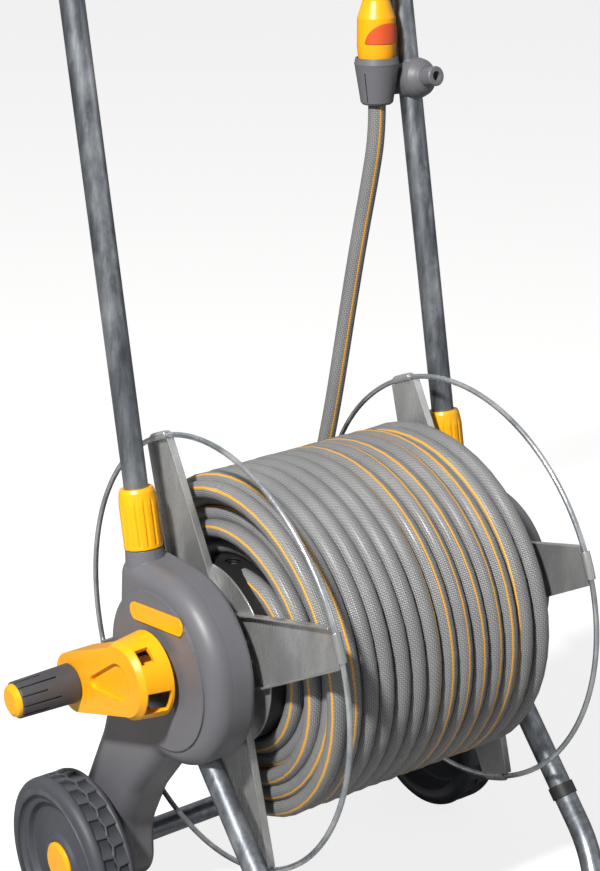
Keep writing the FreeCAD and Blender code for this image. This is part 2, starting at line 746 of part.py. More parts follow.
def collar(tag, side):
    """Fluted twist collar that clamps the handle tube."""
    low = neck_top + 1
    high = low + collar_length
    step = neck_top + spigot_length + 1
    body = turned("collar_" + tag, [
        (spigot_radius + loose_fit, low), (collar_radius, low), (collar_radius, high - 14),
        (collar_radius - 1.5, high - 3), (collar_radius - 3, high),
        (tube_radius + loose_fit, high), (tube_radius + loose_fit, step),
        (spigot_radius + loose_fit, step),
    ], "Z")
    flutes = 14
    face = sketch(body, "XY_Plane", "flute_outline", low + 3)
    circle(face, collar_radius + 0.9, 0, 1.9)
    groove = pocket(body, face, collar_length - 9, backward=True)
    pattern = body.newObject("PartDesign::PolarPattern", "flutes")
    pattern.Originals = [groove]
    pattern.Axis = ([i for i in body.Origin.OriginFeatures if i.Role == "Z_Axis"][0], [""])
    pattern.Angle = 360
    pattern.Occurrences = flutes
    body.Tip = pattern
    doc.recompute()
    keep(seat(body, side * handle_half, handle_back, 0, LEANING), "collar_" + tag)


# ---- drum ----------------------------------------------------------------------------------------

outlet_centre = -(core_half - 20)


def core():
    wall = sheet_wall
    tube = pipe("core_shell", core_radius - wall, core_radius, -core_half, core_half, "X")
    hole = seat(rod("core_hole", 7, 40), outlet_centre, 0, core_radius - 20)
    keep(cut("core_tube", seat(tube), [hole]), "core_tube")
    for tag, side in SIDES:
        disc = pipe("core_disc_" + tag, shaft_radius + 1, core_radius + 2,
                    side * core_half, side * (core_half + wall), "X")
        keep(seat(disc), "core_disc_" + tag)


def shafts():
    """Crank side stub and the hollow water shaft, each with a flange inside the core."""
    flange = size(34)
    left = turned("shaft_left_blank", [
        (3 - core_half, 0), (3 - core_half, flange), (-core_half, flange),
        (-core_half, shaft_radius), (-(crank_outer - 5), shaft_radius), (-(crank_outer - 5), 0),
    ])
    pin = crank_pin_rod("pin_hole")
    keep(cut("shaft_left", seat(left), [pin]), "shaft_left")
    bore = shaft_radius / 2
    right = turned("shaft_right", [
        (core_half - 3, bore), (core_half - 3, flange), (core_half, flange),
        (core_half, shaft_radius), (hub_outer + 14, shaft_radius), (hub_outer + 14, bore),
    ])
    keep(seat(right), "shaft_right")


def outlet_elbow():
    """Pipe inside the core that leads the water from the shaft to the hose's inner end."""
    pipe_radius = size(11)
    centre = outlet_centre
    body = rod_x("outlet_body", pipe_radius, centre - pipe_radius, core_half - 3)
    branch = seat(rod("outlet_branch", 6.5, core_radius - 2), centre, 0, 0)
    inside = rod_x("outlet_bore", shaft_radius / 2, centre, core_half)
    rise = seat(rod("outlet_rise", 4.5, core_radius + 5), centre, 0, 0)
    solid = fuse("outlet_solid", [body, branch])
    keep(cut("outlet_elbow", solid, [inside, rise]), "outlet_elbow")


def ring_shape(name, side, section):
    torus = doc.addObject("Part::Torus", name)
    bind(torus, "Radius1", ring_radius)
    bind(torus, "Radius2", section)
    return seat(torus, side * (core_half + 2.3 + wire_radius - 1), 0, 0, ALONG_X)


def rings():
    for tag, side in SIDES:
        keep(ring_shape("ring_" + tag, side, wire_radius), "ring_" + tag)


# Turns a torus about Z into one about X whose arc starts straight up.
CURL_TURN = App.Rotation(Vec(0, 1, 0), -90)


def spoke(tag, side, number):
    """A pressed spoke: a tapered channel with its lips outward, curled over the wire ring."""
    name = "spoke_%s_%d" % (tag, number + 1)
    floor = core_half + sheet_wall
    end = ring_radius - wire_radius - 1
    tip_half = size(18)
    curl_half_angle = 3.6
    widths = ((size(42), size(36)), (size(85), size(32)), (end, tip_half))
    body = new_body(name + "_channel")
    plan = sketch(body, "YZ_Plane", "plan", side * floor)
    polygon(plan, [(-half, r) for r, half in widths] + [(half, r) for r, half in widths[::-1]])
    pad(body, plan, lip_height, backward=side < 0)
    trough = sketch(body, "YZ_Plane", "trough", side * (floor + sheet_wall))
    inset = sheet_wall
    inner = [(size(30), size(36) - inset)] + [(r, half - inset) for r, half in widths[1:2]]
    inner.append((end + 12, tip_half - inset - 1.7))
    polygon(trough, [(-half, r) for r, half in inner] + [(half, r) for r, half in inner[::-1]])
    pocket(body, trough, lip_height, backward=side > 0)
    clip = doc.addObject("Part::Torus", name + "_curl")
    bind(clip, "Radius1", ring_radius)
    bind(clip, "Radius2", wire_radius + 1.8)
    clip.Angle3 = 2 * curl_half_angle
    turn = spoke_turn.value + 90 * number
    # The curl starts on one side of the spoke's middle and ends on the other.
    rest = App.Rotation(Vec(1, 0, 0), -turn)
    start = App.Rotation(Vec(1, 0, 0), curl_half_angle)
    seat(body, 0, 0, 0, rest)
    seat(clip, side * (core_half + 2.3 + wire_radius - 1), 0, 0, rest * start * CURL_TURN)
    wire = ring_shape(name + "_wire", side, wire_radius)
    keep(cut(name, fuse(name + "_solid", [body, clip]), [wire]), name)


def rivets():
    """Rivets that join each core disc to its spokes."""
    pieces = []
    for tag, side in SIDES:
        for number in range(4):
            turn = math.radians(spoke_turn.value + 90 * number)
            for spread in (-9, 9):
                radius = 60
                y = radius * math.sin(turn) + spread * math.cos(turn)
                z = radius * math.cos(turn) - spread * math.sin(turn)
                stem = rod_x("rivet_%s_%d_%d" % (tag, number, spread + 10), 2.4,
                             side * (core_half + 2 * sheet_wall),
                             side * (core_half + 2 * sheet_wall + 1.6), y, z)
                pieces.append(stem)
    keep(group("spoke_rivets", pieces), "spoke_rivets")


def coil():
    """The wound hose as one solid of its outer shape."""
    body = pipe("hose_coil", core_radius, coil_radius, -coil_half, coil_half, "X")
    keep(seat(body), "hose_coil")


# ---- crank ---------------------------------------------------------------------------------------

grip_y = crank_reach * math.cos(math.radians(crank_turn.value))
grip_z = crank_reach * math.sin(math.radians(crank_turn.value))


# The thumb recess: its round ends along the arm, their radii and how deep it is.
recess_root = size(33)
recess_tip = crank_reach - 23
recess_wide = size(15)
recess_slim = size(6)
recess_depth = size(2)


def crank_pin_rod(name):
    """The cross pin's cylinder, square to the arm."""
    pin = rod(name, 2.5, 34)
    direction = App.Rotation(Vec(1, 0, 0), crank_turn.value)
    lift = math.radians(crank_turn.value)
    return seat(pin, 13 - crank_outer, 17 * math.sin(lift), -17 * math.cos(lift), direction)


def arm_outline(inset):
    """Corners of the tapered arm, seen along X, in the crank's own frame."""
    root = crank_face - 3 - inset
    return [(0, -root), (crank_reach, inset - crank_tip), (crank_reach, crank_tip - inset), (0, root)]


def crank_window(name, length, width, x, degrees):
    """A box through the cup's side wall, at an angle above the front in the crank's own frame."""
    angle = math.radians(degrees)
    turn = 90 - degrees
    across = math.radians(turn)
    reach = crank_rim - 13
    half = width / 2
    return seat(box(name, length, width, 22), x,
                -reach * math.cos(angle) - half * math.cos(across),
                reach * math.sin(angle) - half * math.sin(across),
                App.Rotation(Vec(1, 0, 0), turn))


def crank_arm():
    """Yellow moulded crank: a hollow cup round the shaft and a hollow tapering arm."""
    inner, outer = -crank_inner, -crank_outer
    wall = size(3)
    cup = turned("crank_cup", [(inner, 0), (inner, crank_rim), (outer + 5, crank_face + 1),
                               (outer, crank_face - 3), (outer, 0)])
    arm = new_body("crank_beam")
    plan = sketch(arm, "YZ_Plane", "arm_outline", outer)
    polygon(plan, arm_outline(0))
    pad(arm, plan, crank_outer - crank_inner)
    tip = rod_x("crank_round", crank_tip, inner, outer, crank_reach, 0)
    cavity = turned("crank_cup_hollow", [(inner + 1, 0), (inner + 1, crank_rim - wall),
                                         (outer + wall, crank_face - 3 - wall), (outer + wall, 0)])
    hollow = new_body("crank_beam_hollow")
    plan = sketch(hollow, "YZ_Plane", "hollow_outline", outer + wall)
    polygon(plan, arm_outline(wall))
    pad(hollow, plan, crank_outer - crank_inner)
    tip_hollow = rod_x("crank_round_hollow", crank_tip - wall, inner + 1, outer + wall,
                       crank_reach, 0)
    recess = fuse("thumb_recess", [
        rod_x("recess_root", recess_wide, outer + recess_depth, outer - 1, recess_root, 0),
        rod_x("recess_tip", recess_slim, outer + recess_depth, outer - 1, recess_tip, 0),
        recess_wedge(outer),
    ])
    socket = rod_x("crank_socket", shaft_radius + 4.5, inner, outer + 1)
    post = rod_x("spindle_post", spindle_radius + 4, inner + 6, outer + 1, crank_reach, 0)
    windows = [crank_window("window_low", 19, 17, outer + 7, -40),
               crank_window("window_high", 8, 13, outer + 7, 35)]
    shell = cut("crank_shell", fuse("crank_outside", [cup, seat(arm), tip]),
                [seat(cavity), seat(hollow), tip_hollow, recess] + windows)
    seat(cup)
    bores = [rod_x("shaft_bore", shaft_radius, inner + 2, outer + 5),
             rod_x("spindle_bore", spindle_radius, inner + 2, outer - 2, crank_reach, 0)]
    whole = cut("crank_upright", fuse("crank_filled", [shell, socket, post]), bores)
    doc.recompute()
    turned_crank = doc.addObject("Part::Feature", "crank_arm")
    shape = whole.Shape.copy()
    axis_point = Vec(shift_x.value, shift_y.value, axis_height.value)
    shape.rotate(axis_point, Vec(1, 0, 0), crank_turn.value)
    pin = crank_pin_rod("crank_pin_hole")
    doc.recompute()
    turned_crank.Shape = shape.cut(pin.Shape)
    keep(turned_crank, "crank_arm")
    keep(crank_pin_rod("crank_pin"), "crank_pin")


def recess_wedge(outer):
    """Tapered middle of the thumb recess between its two round ends."""
    body = new_body("recess_wedge")
    plan = sketch(body, "YZ_Plane", "wedge_outline", outer - 1)
    polygon(plan, [(recess_root, -1 * recess_wide), (recess_tip, -1 * recess_slim),
                   (recess_tip, recess_slim), (recess_root, recess_wide)])
    pad(body, plan, recess_depth + 1)
    return seat(body)


def grip_slots(sleeve, first_turn, length, end, depth):
    """Six slots along the grip, open at its outer end."""
    slot_half = size(0.9)
    angle = math.radians(first_turn)
    face = sketch(sleeve, "YZ_Plane", "slot_outline", length - end)
    corners = [(grip_end - depth, -slot_half), (grip_root + 1, -slot_half),
               (grip_root + 1, slot_half), (grip_end - depth, slot_half)]
    polygon(face, [(out * math.cos(angle) - across * math.sin(angle),
                    out * math.sin(angle) + across * math.cos(angle)) for out, across in corners])
    groove = pocket(sleeve, face, length + 1)
    pattern = sleeve.newObject("PartDesign::PolarPattern", "slots")
    pattern.Originals = [groove]
    pattern.Axis = ([i for i in sleeve.Origin.OriginFeatures if i.Role == "X_Axis"][0], [""])
    pattern.Angle = 360
    pattern.Occurrences = 6
    sleeve.Tip = pattern
    doc.recompute()


def grip():
    """Turning grip on its spindle, with a yellow end cap."""
    start = crank_outer + loose_fit
    end = crank_outer + grip_length
    bore = spindle_radius + running_fit
    spindle = turned("grip_spindle", [
        (4 - crank_outer, 0), (4 - crank_outer, spindle_radius), (-(end - 4), spindle_radius),
        (-(end - 4), spindle_radius + 3), (-(end - 1), spindle_radius + 3), (-(end - 1), 0),
    ])
    keep(seat(spindle, 0, grip_y, grip_z), "grip_spindle")
    pocket_start = end - 5
    sleeve = turned("grip_sleeve", [
        (-start, bore), (-start, grip_root - 1), (-(start + 1), grip_root), (-(end - 1), grip_end),
        (-end, grip_end - 1), (-end, spindle_radius + 4), (-pocket_start, spindle_radius + 4),
        (-pocket_start, bore),
    ])
    slot_depth = size(1.2)
    for first_turn, length in ((0, size(38)), (30, size(26))):
        grip_slots(sleeve, first_turn, length, end, slot_depth)
    keep(seat(sleeve, 0, grip_y, grip_z), "grip_sleeve")
    cap = turned("grip_cap", [
        (loose_fit - end, 0), (loose_fit - end, spindle_radius + 4), (-end, spindle_radius + 4),
        (-end, grip_end - 1.5), (-(end + 3), grip_end - 2.5), (-(end + cap_length), grip_end - 6),
        (-(end + cap_length), 0),
    ])
    keep(seat(cap, 0, grip_y, grip_z), "grip_cap")


# ---- water inlet ---------------------------------------------------------------------------------

def inlet():
    """Fixed elbow on the far hub, sealed round the end of the water shaft, and its nipple."""
    face = hub_outer + step_height
    end = face + 30
    socket = shaft_radius + 2
    centre = end - 13
    pieces = [rod_x("inlet_body", socket + 5, face, end),
              rod_x("inlet_flange", socket + 14, face, face + 4)]
    forward = App.Rotation(Vec(1, 0, 0), 90)
    branch = seat(rod("inlet_branch", 12, socket + 14), centre, 0, 0, forward)
    pieces.append(branch)
    holes = [
        rod_x("inlet_socket", socket, face - 1, face + 13),
        rod_x("inlet_bore", 6, face, centre + 4),
        seat(rod("inlet_way", 6, socket + 20), centre, 0, 0, forward),
        seat(rod("inlet_seat", 9.5, 12), centre, -(socket + 5), 0, forward),
    ]
    keep(cut("inlet_elbow", fuse("inlet_solid", pieces), holes), "inlet_elbow")
    base = socket + 14
    nipple = turned("inlet_nipple", [
        (4.5, base - 9), (9.5, base - 9), (9.5, base), (13, base), (13, base + 5),
        (inlet_radius, base + 5), (inlet_radius, base + 5 + inlet_length - 4),
        (inlet_radius - 1.5, base + 5 + inlet_length), (4.5, base + 5 + inlet_length),
    ], "Z")
    keep(seat(nipple, centre, 0, 0, forward), "inlet_nipple")
    seals = []
    for number in range(2):
        seal = doc.addObject("Part::Torus", "seal_%d" % number)
        bind(seal, "Radius1", shaft_radius + 1.1)
        bind(seal, "Radius2", 0.85)
        seals.append(seat(seal, face + 3 + 5 * number, 0, 0, ALONG_X))
    keep(group("shaft_seals", seals), "shaft_seals")


# ---- nozzle and its holder -----------------------------------------------------------------------

pouch_x = -(dome_radius + pouch_top - 3)
pouch_y = size(3)
POUCH_TILT = App.Rotation(Vec(1, 0, 0), handle_lean.value - nozzle_lean.value)


def on_handle(piece):
    """Place a piece drawn round the far handle tube at the holder's height."""
    lean = math.radians(handle_lean.value)
    return seat(piece, handle_half, handle_back + holder_place * math.sin(lean),
                holder_place * math.cos(lean), LEANING)


def local_place(piece, x, y, z, rotation=UPRIGHT):
    """Place a piece in the frame of the assembly that it belongs to."""
    piece.Placement = App.Placement(Vec(0, 0, 0), rotation)
    bind(piece, "Placement.Base.x", x)
    bind(piece, "Placement.Base.y", y)
    bind(piece, "Placement.Base.z", z)
    return piece


def local_box(name, length, width, height, x, y, z):
    return local_place(box(name, length, width, height), x, y, z)


def local_rod(name, radius, length, x, y, z, rotation=UPRIGHT):
    return local_place(rod(name, radius, length), x, y, z, rotation)


def nozzle_holder():
    """Cup for the nozzle with the rear half of the tube clamp, and the clamp's front half."""
    low = -1 * pouch_drop
    high = pouch_height - pouch_drop
    clamp = tube_radius + 4
    pouch = turned("pouch", [
        (0, low), (pouch_foot - 2, low), (pouch_foot, low + 2), (pouch_top - 0.4, high - 7),
        (pouch_top, high - 6), (pouch_top - 1.2, high), (pouch_top - pouch_wall, high),
        (pouch_foot - pouch_wall, pouch_floor), (0, pouch_floor),
    ], "Z")
    local_place(pouch, pouch_x, pouch_y, 0, POUCH_TILT)
    tilt = math.radians(handle_lean.value - nozzle_lean.value)
    slit = local_box("cup_slit", pouch_top, 1.2, pouch_height - 16, pouch_x,
                     pouch_y - pouch_floor * math.sin(tilt), pouch_floor * math.cos(tilt))
    slit.Placement.Rotation = POUCH_TILT * App.Rotation(Vec(0, 0, 1), -165)
    web_start = pouch_x + pouch_foot
    web = local_box("clamp_web", -web_start - tube_radius, 12, 2 * clamp_half,
                    web_start, 0, -clamp_half)
    rear = local_rod("clamp_rear", clamp, 2 * clamp_half, 0, 0, -clamp_half)
    front_space = local_box("front_space", 80, 40, 80, -20, -40, -40)
    rear_half = cut("clamp_rear_half", rear, [front_space])
    ear_half = clamp_half - 4
    rear_ears = local_box("rear_ears", clamp + 3, 5, 2 * ear_half, 0, 0, -1 * ear_half)
    tube_hole = local_rod("clamp_bore", tube_radius, 90, 0, 0, -45)
    below = low - 2
    hose_hole = local_rod("hose_hole", hose_radius + 2, 12, pouch_x, pouch_y - below * math.sin(tilt),
                          below * math.cos(tilt), POUCH_TILT)
    forward = App.Rotation(Vec(1, 0, 0), 90)
    seats = [local_rod("screw_seat_%d" % n, 1.8 * screw_radius + loose_fit, 10, clamp_screw_x, 15,
                       z, forward) for n, z in enumerate(CLAMP_SCREW_HEIGHTS)]
    well = local_rod("cup_well", pouch_foot - pouch_wall, pouch_height, pouch_x,
                     pouch_y - pouch_floor * math.sin(tilt), pouch_floor * math.cos(tilt),
                     POUCH_TILT)
    solid = fuse("holder_solid", [pouch, web, rear_half, rear_ears])
    piece = cut("nozzle_holder", solid,
                [tube_hole, hose_hole, slit, well] + clamp_screw_rods("holder") + seats)
    keep(on_handle(piece), "nozzle_holder")
    shell = local_rod("clamp_front", clamp, 2 * clamp_half, 0, 0, -clamp_half)
    rear_space = local_box("rear_space", 80, 40, 80, -40, 0, -40)
    front_half = cut("clamp_front_half", shell, [rear_space])
    ears = local_box("front_ears", clamp + 3, 5, 2 * ear_half, 0, -5, -1 * ear_half)
    dome = turned("dome", [
        (0, 0), (dome_radius, 0), (dome_radius, 14), (dome_radius - 1.5, 19),
        (dome_radius - 5, 24), (nub_radius + 1, 27), (nub_radius, 27),
        (nub_radius, 27 + nub_length - 1), (nub_radius - 1, 27 + nub_length),
        (4.5, 27 + nub_length), (4.5, 20 + nub_length), (0, 20 + nub_length),
    ], "Z")
    dome.Placement = App.Placement(Vec(0, 0, 0), forward)
    solid = fuse("clamp_solid", [front_half, ears, dome])
    bore = local_rod("clamp_bore_front", tube_radius, 90, 0, 0, -45)
    piece = cut("holder_clamp", solid, [bore] + clamp_screw_rods("clamp"))
    keep(on_handle(piece), "holder_clamp")
    clamp_screws()


clamp_screw_x = tube_radius + 3.8
CLAMP_SCREW_HEIGHTS = (-5, 5)


def clamp_screw_rods(tag):
    """Holes for the two clamp screws, beside the tube."""
    forward = App.Rotation(Vec(1, 0, 0), 90)
    return [local_rod("%s_hole_%d" % (tag, n), screw_radius, 20, clamp_screw_x, 10, z, forward)
            for n, z in enumerate(CLAMP_SCREW_HEIGHTS)]


def clamp_screws():
    forward = App.Rotation(Vec(1, 0, 0), 90)
    screws = []
    for number, z in enumerate(CLAMP_SCREW_HEIGHTS):
        shank = local_rod("clamp_shank_%d" % number, screw_radius, 10, clamp_screw_x, 5, z, forward)
        head = local_rod("clamp_head_%d" % number, 1.8 * screw_radius, 2.5, clamp_screw_x, 7.5, z,
                         forward)
        screws.append(fuse("clamp_screw_%d" % number, [shank, head]))
    keep(on_handle(group("clamp_screws", screws)), "clamp_screws")


def at_nozzle(piece):
    """Place a piece drawn round the nozzle's axis."""
    lean = math.radians(handle_lean.value)
    rise = holder_place
    return seat(piece, handle_half + pouch_x,
                handle_back + rise * math.sin(lean) + pouch_y * math.cos(lean),
                rise * math.cos(lean) - pouch_y * math.sin(lean), NOZZLE_LEANING)


def nozzle():
    """Hose connector in the pouch, and the nozzle that plugs into it."""
    floor = pouch_floor
    top = floor + 34
    connector = turned("hose_connector", [
        (0, floor), (hose_radius + 2.5, floor), (hose_radius + 3.5, floor + 3),
        (hose_radius + 3.5, floor + 20), (hose_radius + 2.5, floor + 22),
        (hose_radius + 2.5, top), (inlet_radius + loose_fit, top),
        (inlet_radius + loose_fit, top - 16), (0, top - 16),
    ], "Z")
    keep(at_nozzle(connector), "hose_connector")
    base = top + 1
    waist = base + 6
    end = base + nozzle_length
    body = turned("nozzle_body", [
        (0, base - 15), (inlet_radius, base - 15), (inlet_radius, base),
        (nozzle_radius - 4, base), (nozzle_radius - 1, waist), (nozzle_radius, waist + 12),
        (nozzle_radius - 0.5, end - 52), (nozzle_radius - 5.5, end - 36),
        (nozzle_radius - 6, end - 30), (8, end - 30), (8, end - 2), (0, end - 2),
    ], "Z")
    keep(at_nozzle(body), "nozzle_body")
    tip = turned("nozzle_tip", [
        (8 + running_fit, end - 29.5), (nozzle_radius - 5.5, end - 29.5),
        (nozzle_radius - 3.5, end - 22), (nozzle_radius - 3.5, end - 3),
        (nozzle_radius - 5.5, end), (3, end), (3, end - 1.5), (8 + running_fit, end - 1.5),
    ], "Z")
    keep(at_nozzle(tip), "nozzle_tip")
    sleeve = pipe("label_sleeve", nozzle_radius, nozzle_radius + 0.6, waist + 14, end - 56)
    window = local_box("label_window", 60, 60, 200, -30, 0, -50)
    keep(at_nozzle(cut("nozzle_label", sleeve, [window])), "nozzle_label")


# ---- free hose -----------------------------------------------------------------------------------

# Route of the free hose from the top of the coil to the nozzle's connector, in millimetres from the
# drum's axis. The runs are straight, each corner is rounded by the largest arc its runs allow.
HOSE_ROUTE = [
    (101.0, 169.3, -14.0),
    (103.5, 170.2, 34.0),
    (110.0, 165.5, 84.0),
    (116.0, 157.5, 138.0),
    (123.0, 152.0, 200.0),
    (131.5, 148.5, 262.0),
    (137.5, 142.5, 318.0),
    (140.3, 132.0, 371.0),
]


def rounded_path(points, least=0.45):
    """Straight runs joined by tangent arcs of 0.45 of the shorter run over the half turn's tangent."""
    edges = []
    radii = []
    start = points[0]
    for before, corner, after in zip(points, points[1:], points[2:]):
        back = (before - corner).normalize()
        ahead = (after - corner).normalize()
        shorter = min((corner - before).Length, (after - corner).Length)
        setback = least * shorter
        turn = math.pi - back.getAngle(ahead)
        radii.append(setback / math.tan(turn / 2))
        first = corner + back * setback
        second = corner + ahead * setback
        bisector = (back + ahead).normalize()
        centre = corner + bisector * (radii[-1] / math.cos(turn / 2))
        middle = centre - bisector * radii[-1]
        edges.append(Part.LineSegment(start, first).toShape())
        edges.append(Part.Arc(first, middle, second).toShape())
        start = second
    edges.append(Part.LineSegment(start, points[-1]).toShape())
    return Part.Wire(edges), radii


def hose_tail():
    lean = math.radians(handle_lean.value)
    fall = math.radians(nozzle_lean.value)
    rise, out = holder_place.value, pouch_y.value
    x = handle_half.value + pouch_x.value
    y = handle_back.value + rise * math.sin(lean) + out * math.cos(lean)
    z = rise * math.cos(lean) - out * math.sin(lean)
    points = [Vec(*point) for point in HOSE_ROUTE]
    for below in (30, 0):
        reach = below - pouch_floor.value
        points.append(Vec(x, y - reach * math.sin(fall), z - reach * math.cos(fall)))
    wire, radii = rounded_path(points)
    profile = Part.Wire(Part.Circle(points[0], points[1] - points[0], hose_radius.value).toShape())
    tube = wire.makePipeShell([profile], True, False)
    expected = math.pi * hose_radius.value ** 2 * wire.Length
    print("hose radii", [round(radius) for radius in radii])
    print("hose length", round(wire.Length), "volume ratio", round(tube.Volume / expected, 4))
    for point in points[-2:]:
        print("hose point", [round(v, 3) for v in point])
    piece = doc.addObject("Part::Feature", "hose_tail")
    piece.Shape = tube
    piece.Placement = App.Placement(Vec(*SHIFT), UPRIGHT)
    keep(piece, "hose_tail")


SHIFT = (shift_x.value, shift_y.value, axis_height.value)
SIDES = (("left", -1), ("right", 1))

for tag, side in SIDES:
    hub_pair(tag, side)
    hub_screws(tag, side)
    badge(tag, side)
    drum_bush(tag, side)
    leg(tag, side)
    wheel(tag, side)
    collar(tag, side)
    for number in range(4):
        spoke(tag, side, number)
foot_tube()
leg_ferrules()
axle_rod()
axle_clips()
handle_tube()
handle_grip()
core()
shafts()
outlet_elbow()
rings()
rivets()
coil()
crank_arm()
grip()
inlet()
nozzle_holder()
nozzle()
hose_tail()
doc.recompute()

# ---- checks and export ---------------------------------------------------------------------------

for item in doc.Objects:
    if "Invalid" in item.State or "Error" in item.State:
        raise RuntimeError("%s failed: %s" % (item.Label, item.State))
for piece in nodes:
    if piece.Shape.isNull() or not piece.Shape.isValid():
        raise RuntimeError("%s has no valid shape" % piece.Label)
os.makedirs("parts", exist_ok=True)
for piece in nodes:
    piece.Shape.exportStep("parts/%s.step" % piece.Label)
print(len(nodes), "nodes, frame shift", [round(value, 3) for value in SHIFT])
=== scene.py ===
import bmesh
import bpy
import json
import math
import random
from mathutils import Matrix, Vector


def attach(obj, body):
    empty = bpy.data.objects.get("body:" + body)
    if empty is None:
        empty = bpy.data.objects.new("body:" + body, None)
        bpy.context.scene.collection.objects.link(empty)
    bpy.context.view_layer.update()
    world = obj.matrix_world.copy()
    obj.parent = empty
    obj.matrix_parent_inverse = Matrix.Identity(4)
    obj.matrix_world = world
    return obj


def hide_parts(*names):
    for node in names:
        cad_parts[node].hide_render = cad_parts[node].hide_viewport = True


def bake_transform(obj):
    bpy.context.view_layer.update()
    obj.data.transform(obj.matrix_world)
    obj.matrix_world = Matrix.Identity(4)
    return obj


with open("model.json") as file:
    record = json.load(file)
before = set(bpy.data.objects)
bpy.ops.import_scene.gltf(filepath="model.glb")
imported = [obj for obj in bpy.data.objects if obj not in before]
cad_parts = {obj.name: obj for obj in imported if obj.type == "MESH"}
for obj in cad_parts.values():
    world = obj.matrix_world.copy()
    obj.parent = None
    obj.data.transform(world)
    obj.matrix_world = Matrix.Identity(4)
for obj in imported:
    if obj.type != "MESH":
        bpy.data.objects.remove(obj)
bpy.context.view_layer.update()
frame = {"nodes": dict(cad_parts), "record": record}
nodes = frame["nodes"]
scene = bpy.context.scene

# Garden hose reel cart. The drum turns about X, the crank is on the -X side, the wheels are at +Y.

SHIFT = Vector((0.027, 0.02875, 0.322))     # the middle of the drum's axis
HOSE = 0.017                                # hose diameter
FULL_TURN = 2 * math.pi


def from_axis(x, y, z):
    """A point given in millimetres from the middle of the drum's axis."""
    return Vector((x, y, z)) / 1000 + SHIFT


# ---- camera --------------------------------------------------------------------------------------

AZIMUTH, ELEVATION = math.radians(-36.75), math.radians(19.55)
back = Vector((math.sin(AZIMUTH) * math.cos(ELEVATION), -math.cos(AZIMUTH) * math.cos(ELEVATION),
               math.sin(ELEVATION)))
eye = bpy.data.objects.new("camera", bpy.data.cameras.new("camera"))
scene.collection.objects.link(eye)
eye.data.sensor_width = 36
eye.data.lens = 80.94
eye.location = from_axis(-1027.87, -1319.62, 771.05)
eye.rotation_mode = "QUATERNION"
eye.rotation_quaternion = (-back).to_track_quat("-Z", "Y")
scene.camera = eye


# ---- node helpers --------------------------------------------------------------------------------

def material(name):
    """An empty node material with its surface output."""
    made = bpy.data.materials.new(name)
    made.use_nodes = True
    made.node_tree.nodes.clear()
    out = made.node_tree.nodes.new("ShaderNodeOutputMaterial")
    return made, made.node_tree, out


def add(tree, kind, sockets=None, **settings):
    """A node; sockets holds its inputs by name or number, as values or as outputs to link."""
    made = tree.nodes.new(kind)
    for key, value in settings.items():
        setattr(made, key, value)
    for key, value in (sockets or {}).items():
        if isinstance(value, bpy.types.NodeSocket):
            tree.links.new(value, made.inputs[key])
        else:
            made.inputs[key].default_value = value
    return made


def math_node(tree, operation, a, b=0.0, clamp=False):
    made = add(tree, "ShaderNodeMath", {0: a, 1: b}, operation=operation, use_clamp=clamp)
    return made.outputs[0]


def mix_colour(tree, amount, a, b):
    """Colour a turned into colour b by that amount."""
    made = add(tree, "ShaderNodeMix", {"Factor": amount}, data_type="RGBA")
    colour_a, colour_b, result = made.inputs[6], made.inputs[7], made.outputs[2]
    for socket, value in ((colour_a, a), (colour_b, b)):
        if isinstance(value, bpy.types.NodeSocket):
            tree.links.new(value, socket)
        else:
            socket.default_value = (*value, 1)
    return result


def spread(tree, value, low, high, to_low=0.0, to_high=1.0):
    """The value's range from low to high laid out from to_low to to_high, and held there."""
    return add(tree, "ShaderNodeMapRange", {0: value, 1: low, 2: high, 3: to_low, 4: to_high},
               clamp=True).outputs[0]


def noise(tree, where, scale, detail=4.0, rough=0.55, stretch=(1, 1, 1)):
    place = add(tree, "ShaderNodeMapping", {"Vector": where, "Scale": stretch}).outputs[0]
    return add(tree, "ShaderNodeTexNoise", {"Vector": place, "Scale": scale, "Detail": detail,
                                            "Roughness": rough}).outputs[0]


def rounded_normal(tree, radius):
    return add(tree, "ShaderNodeBevel", {"Radius": radius}, samples=4).outputs[0]


def edge_mask(tree, radius, gain=9.0):
    """1 along edges and 0 elsewhere, from how far a rounded normal leaves the true one."""
    rounded = rounded_normal(tree, radius)
    true = add(tree, "ShaderNodeNewGeometry").outputs["True Normal"]
    same = add(tree, "ShaderNodeVectorMath", {0: rounded, 1: true}, operation="DOT_PRODUCT")
    off = math_node(tree, "SUBTRACT", 1.0, same.outputs["Value"])
    return math_node(tree, "MULTIPLY", off, gain, clamp=True)


def object_place(tree):
    return add(tree, "ShaderNodeTexCoord").outputs["Object"]


# ---- kinds of finish -----------------------------------------------------------------------------
# In each of them the noise scales are per metre, the edge and bump sizes are in metres.

# Painted shade with some grime: the dark tone laid into the tread's pockets.
SHADE_AND_GRIME = (0.012, 0.013, 0.016)


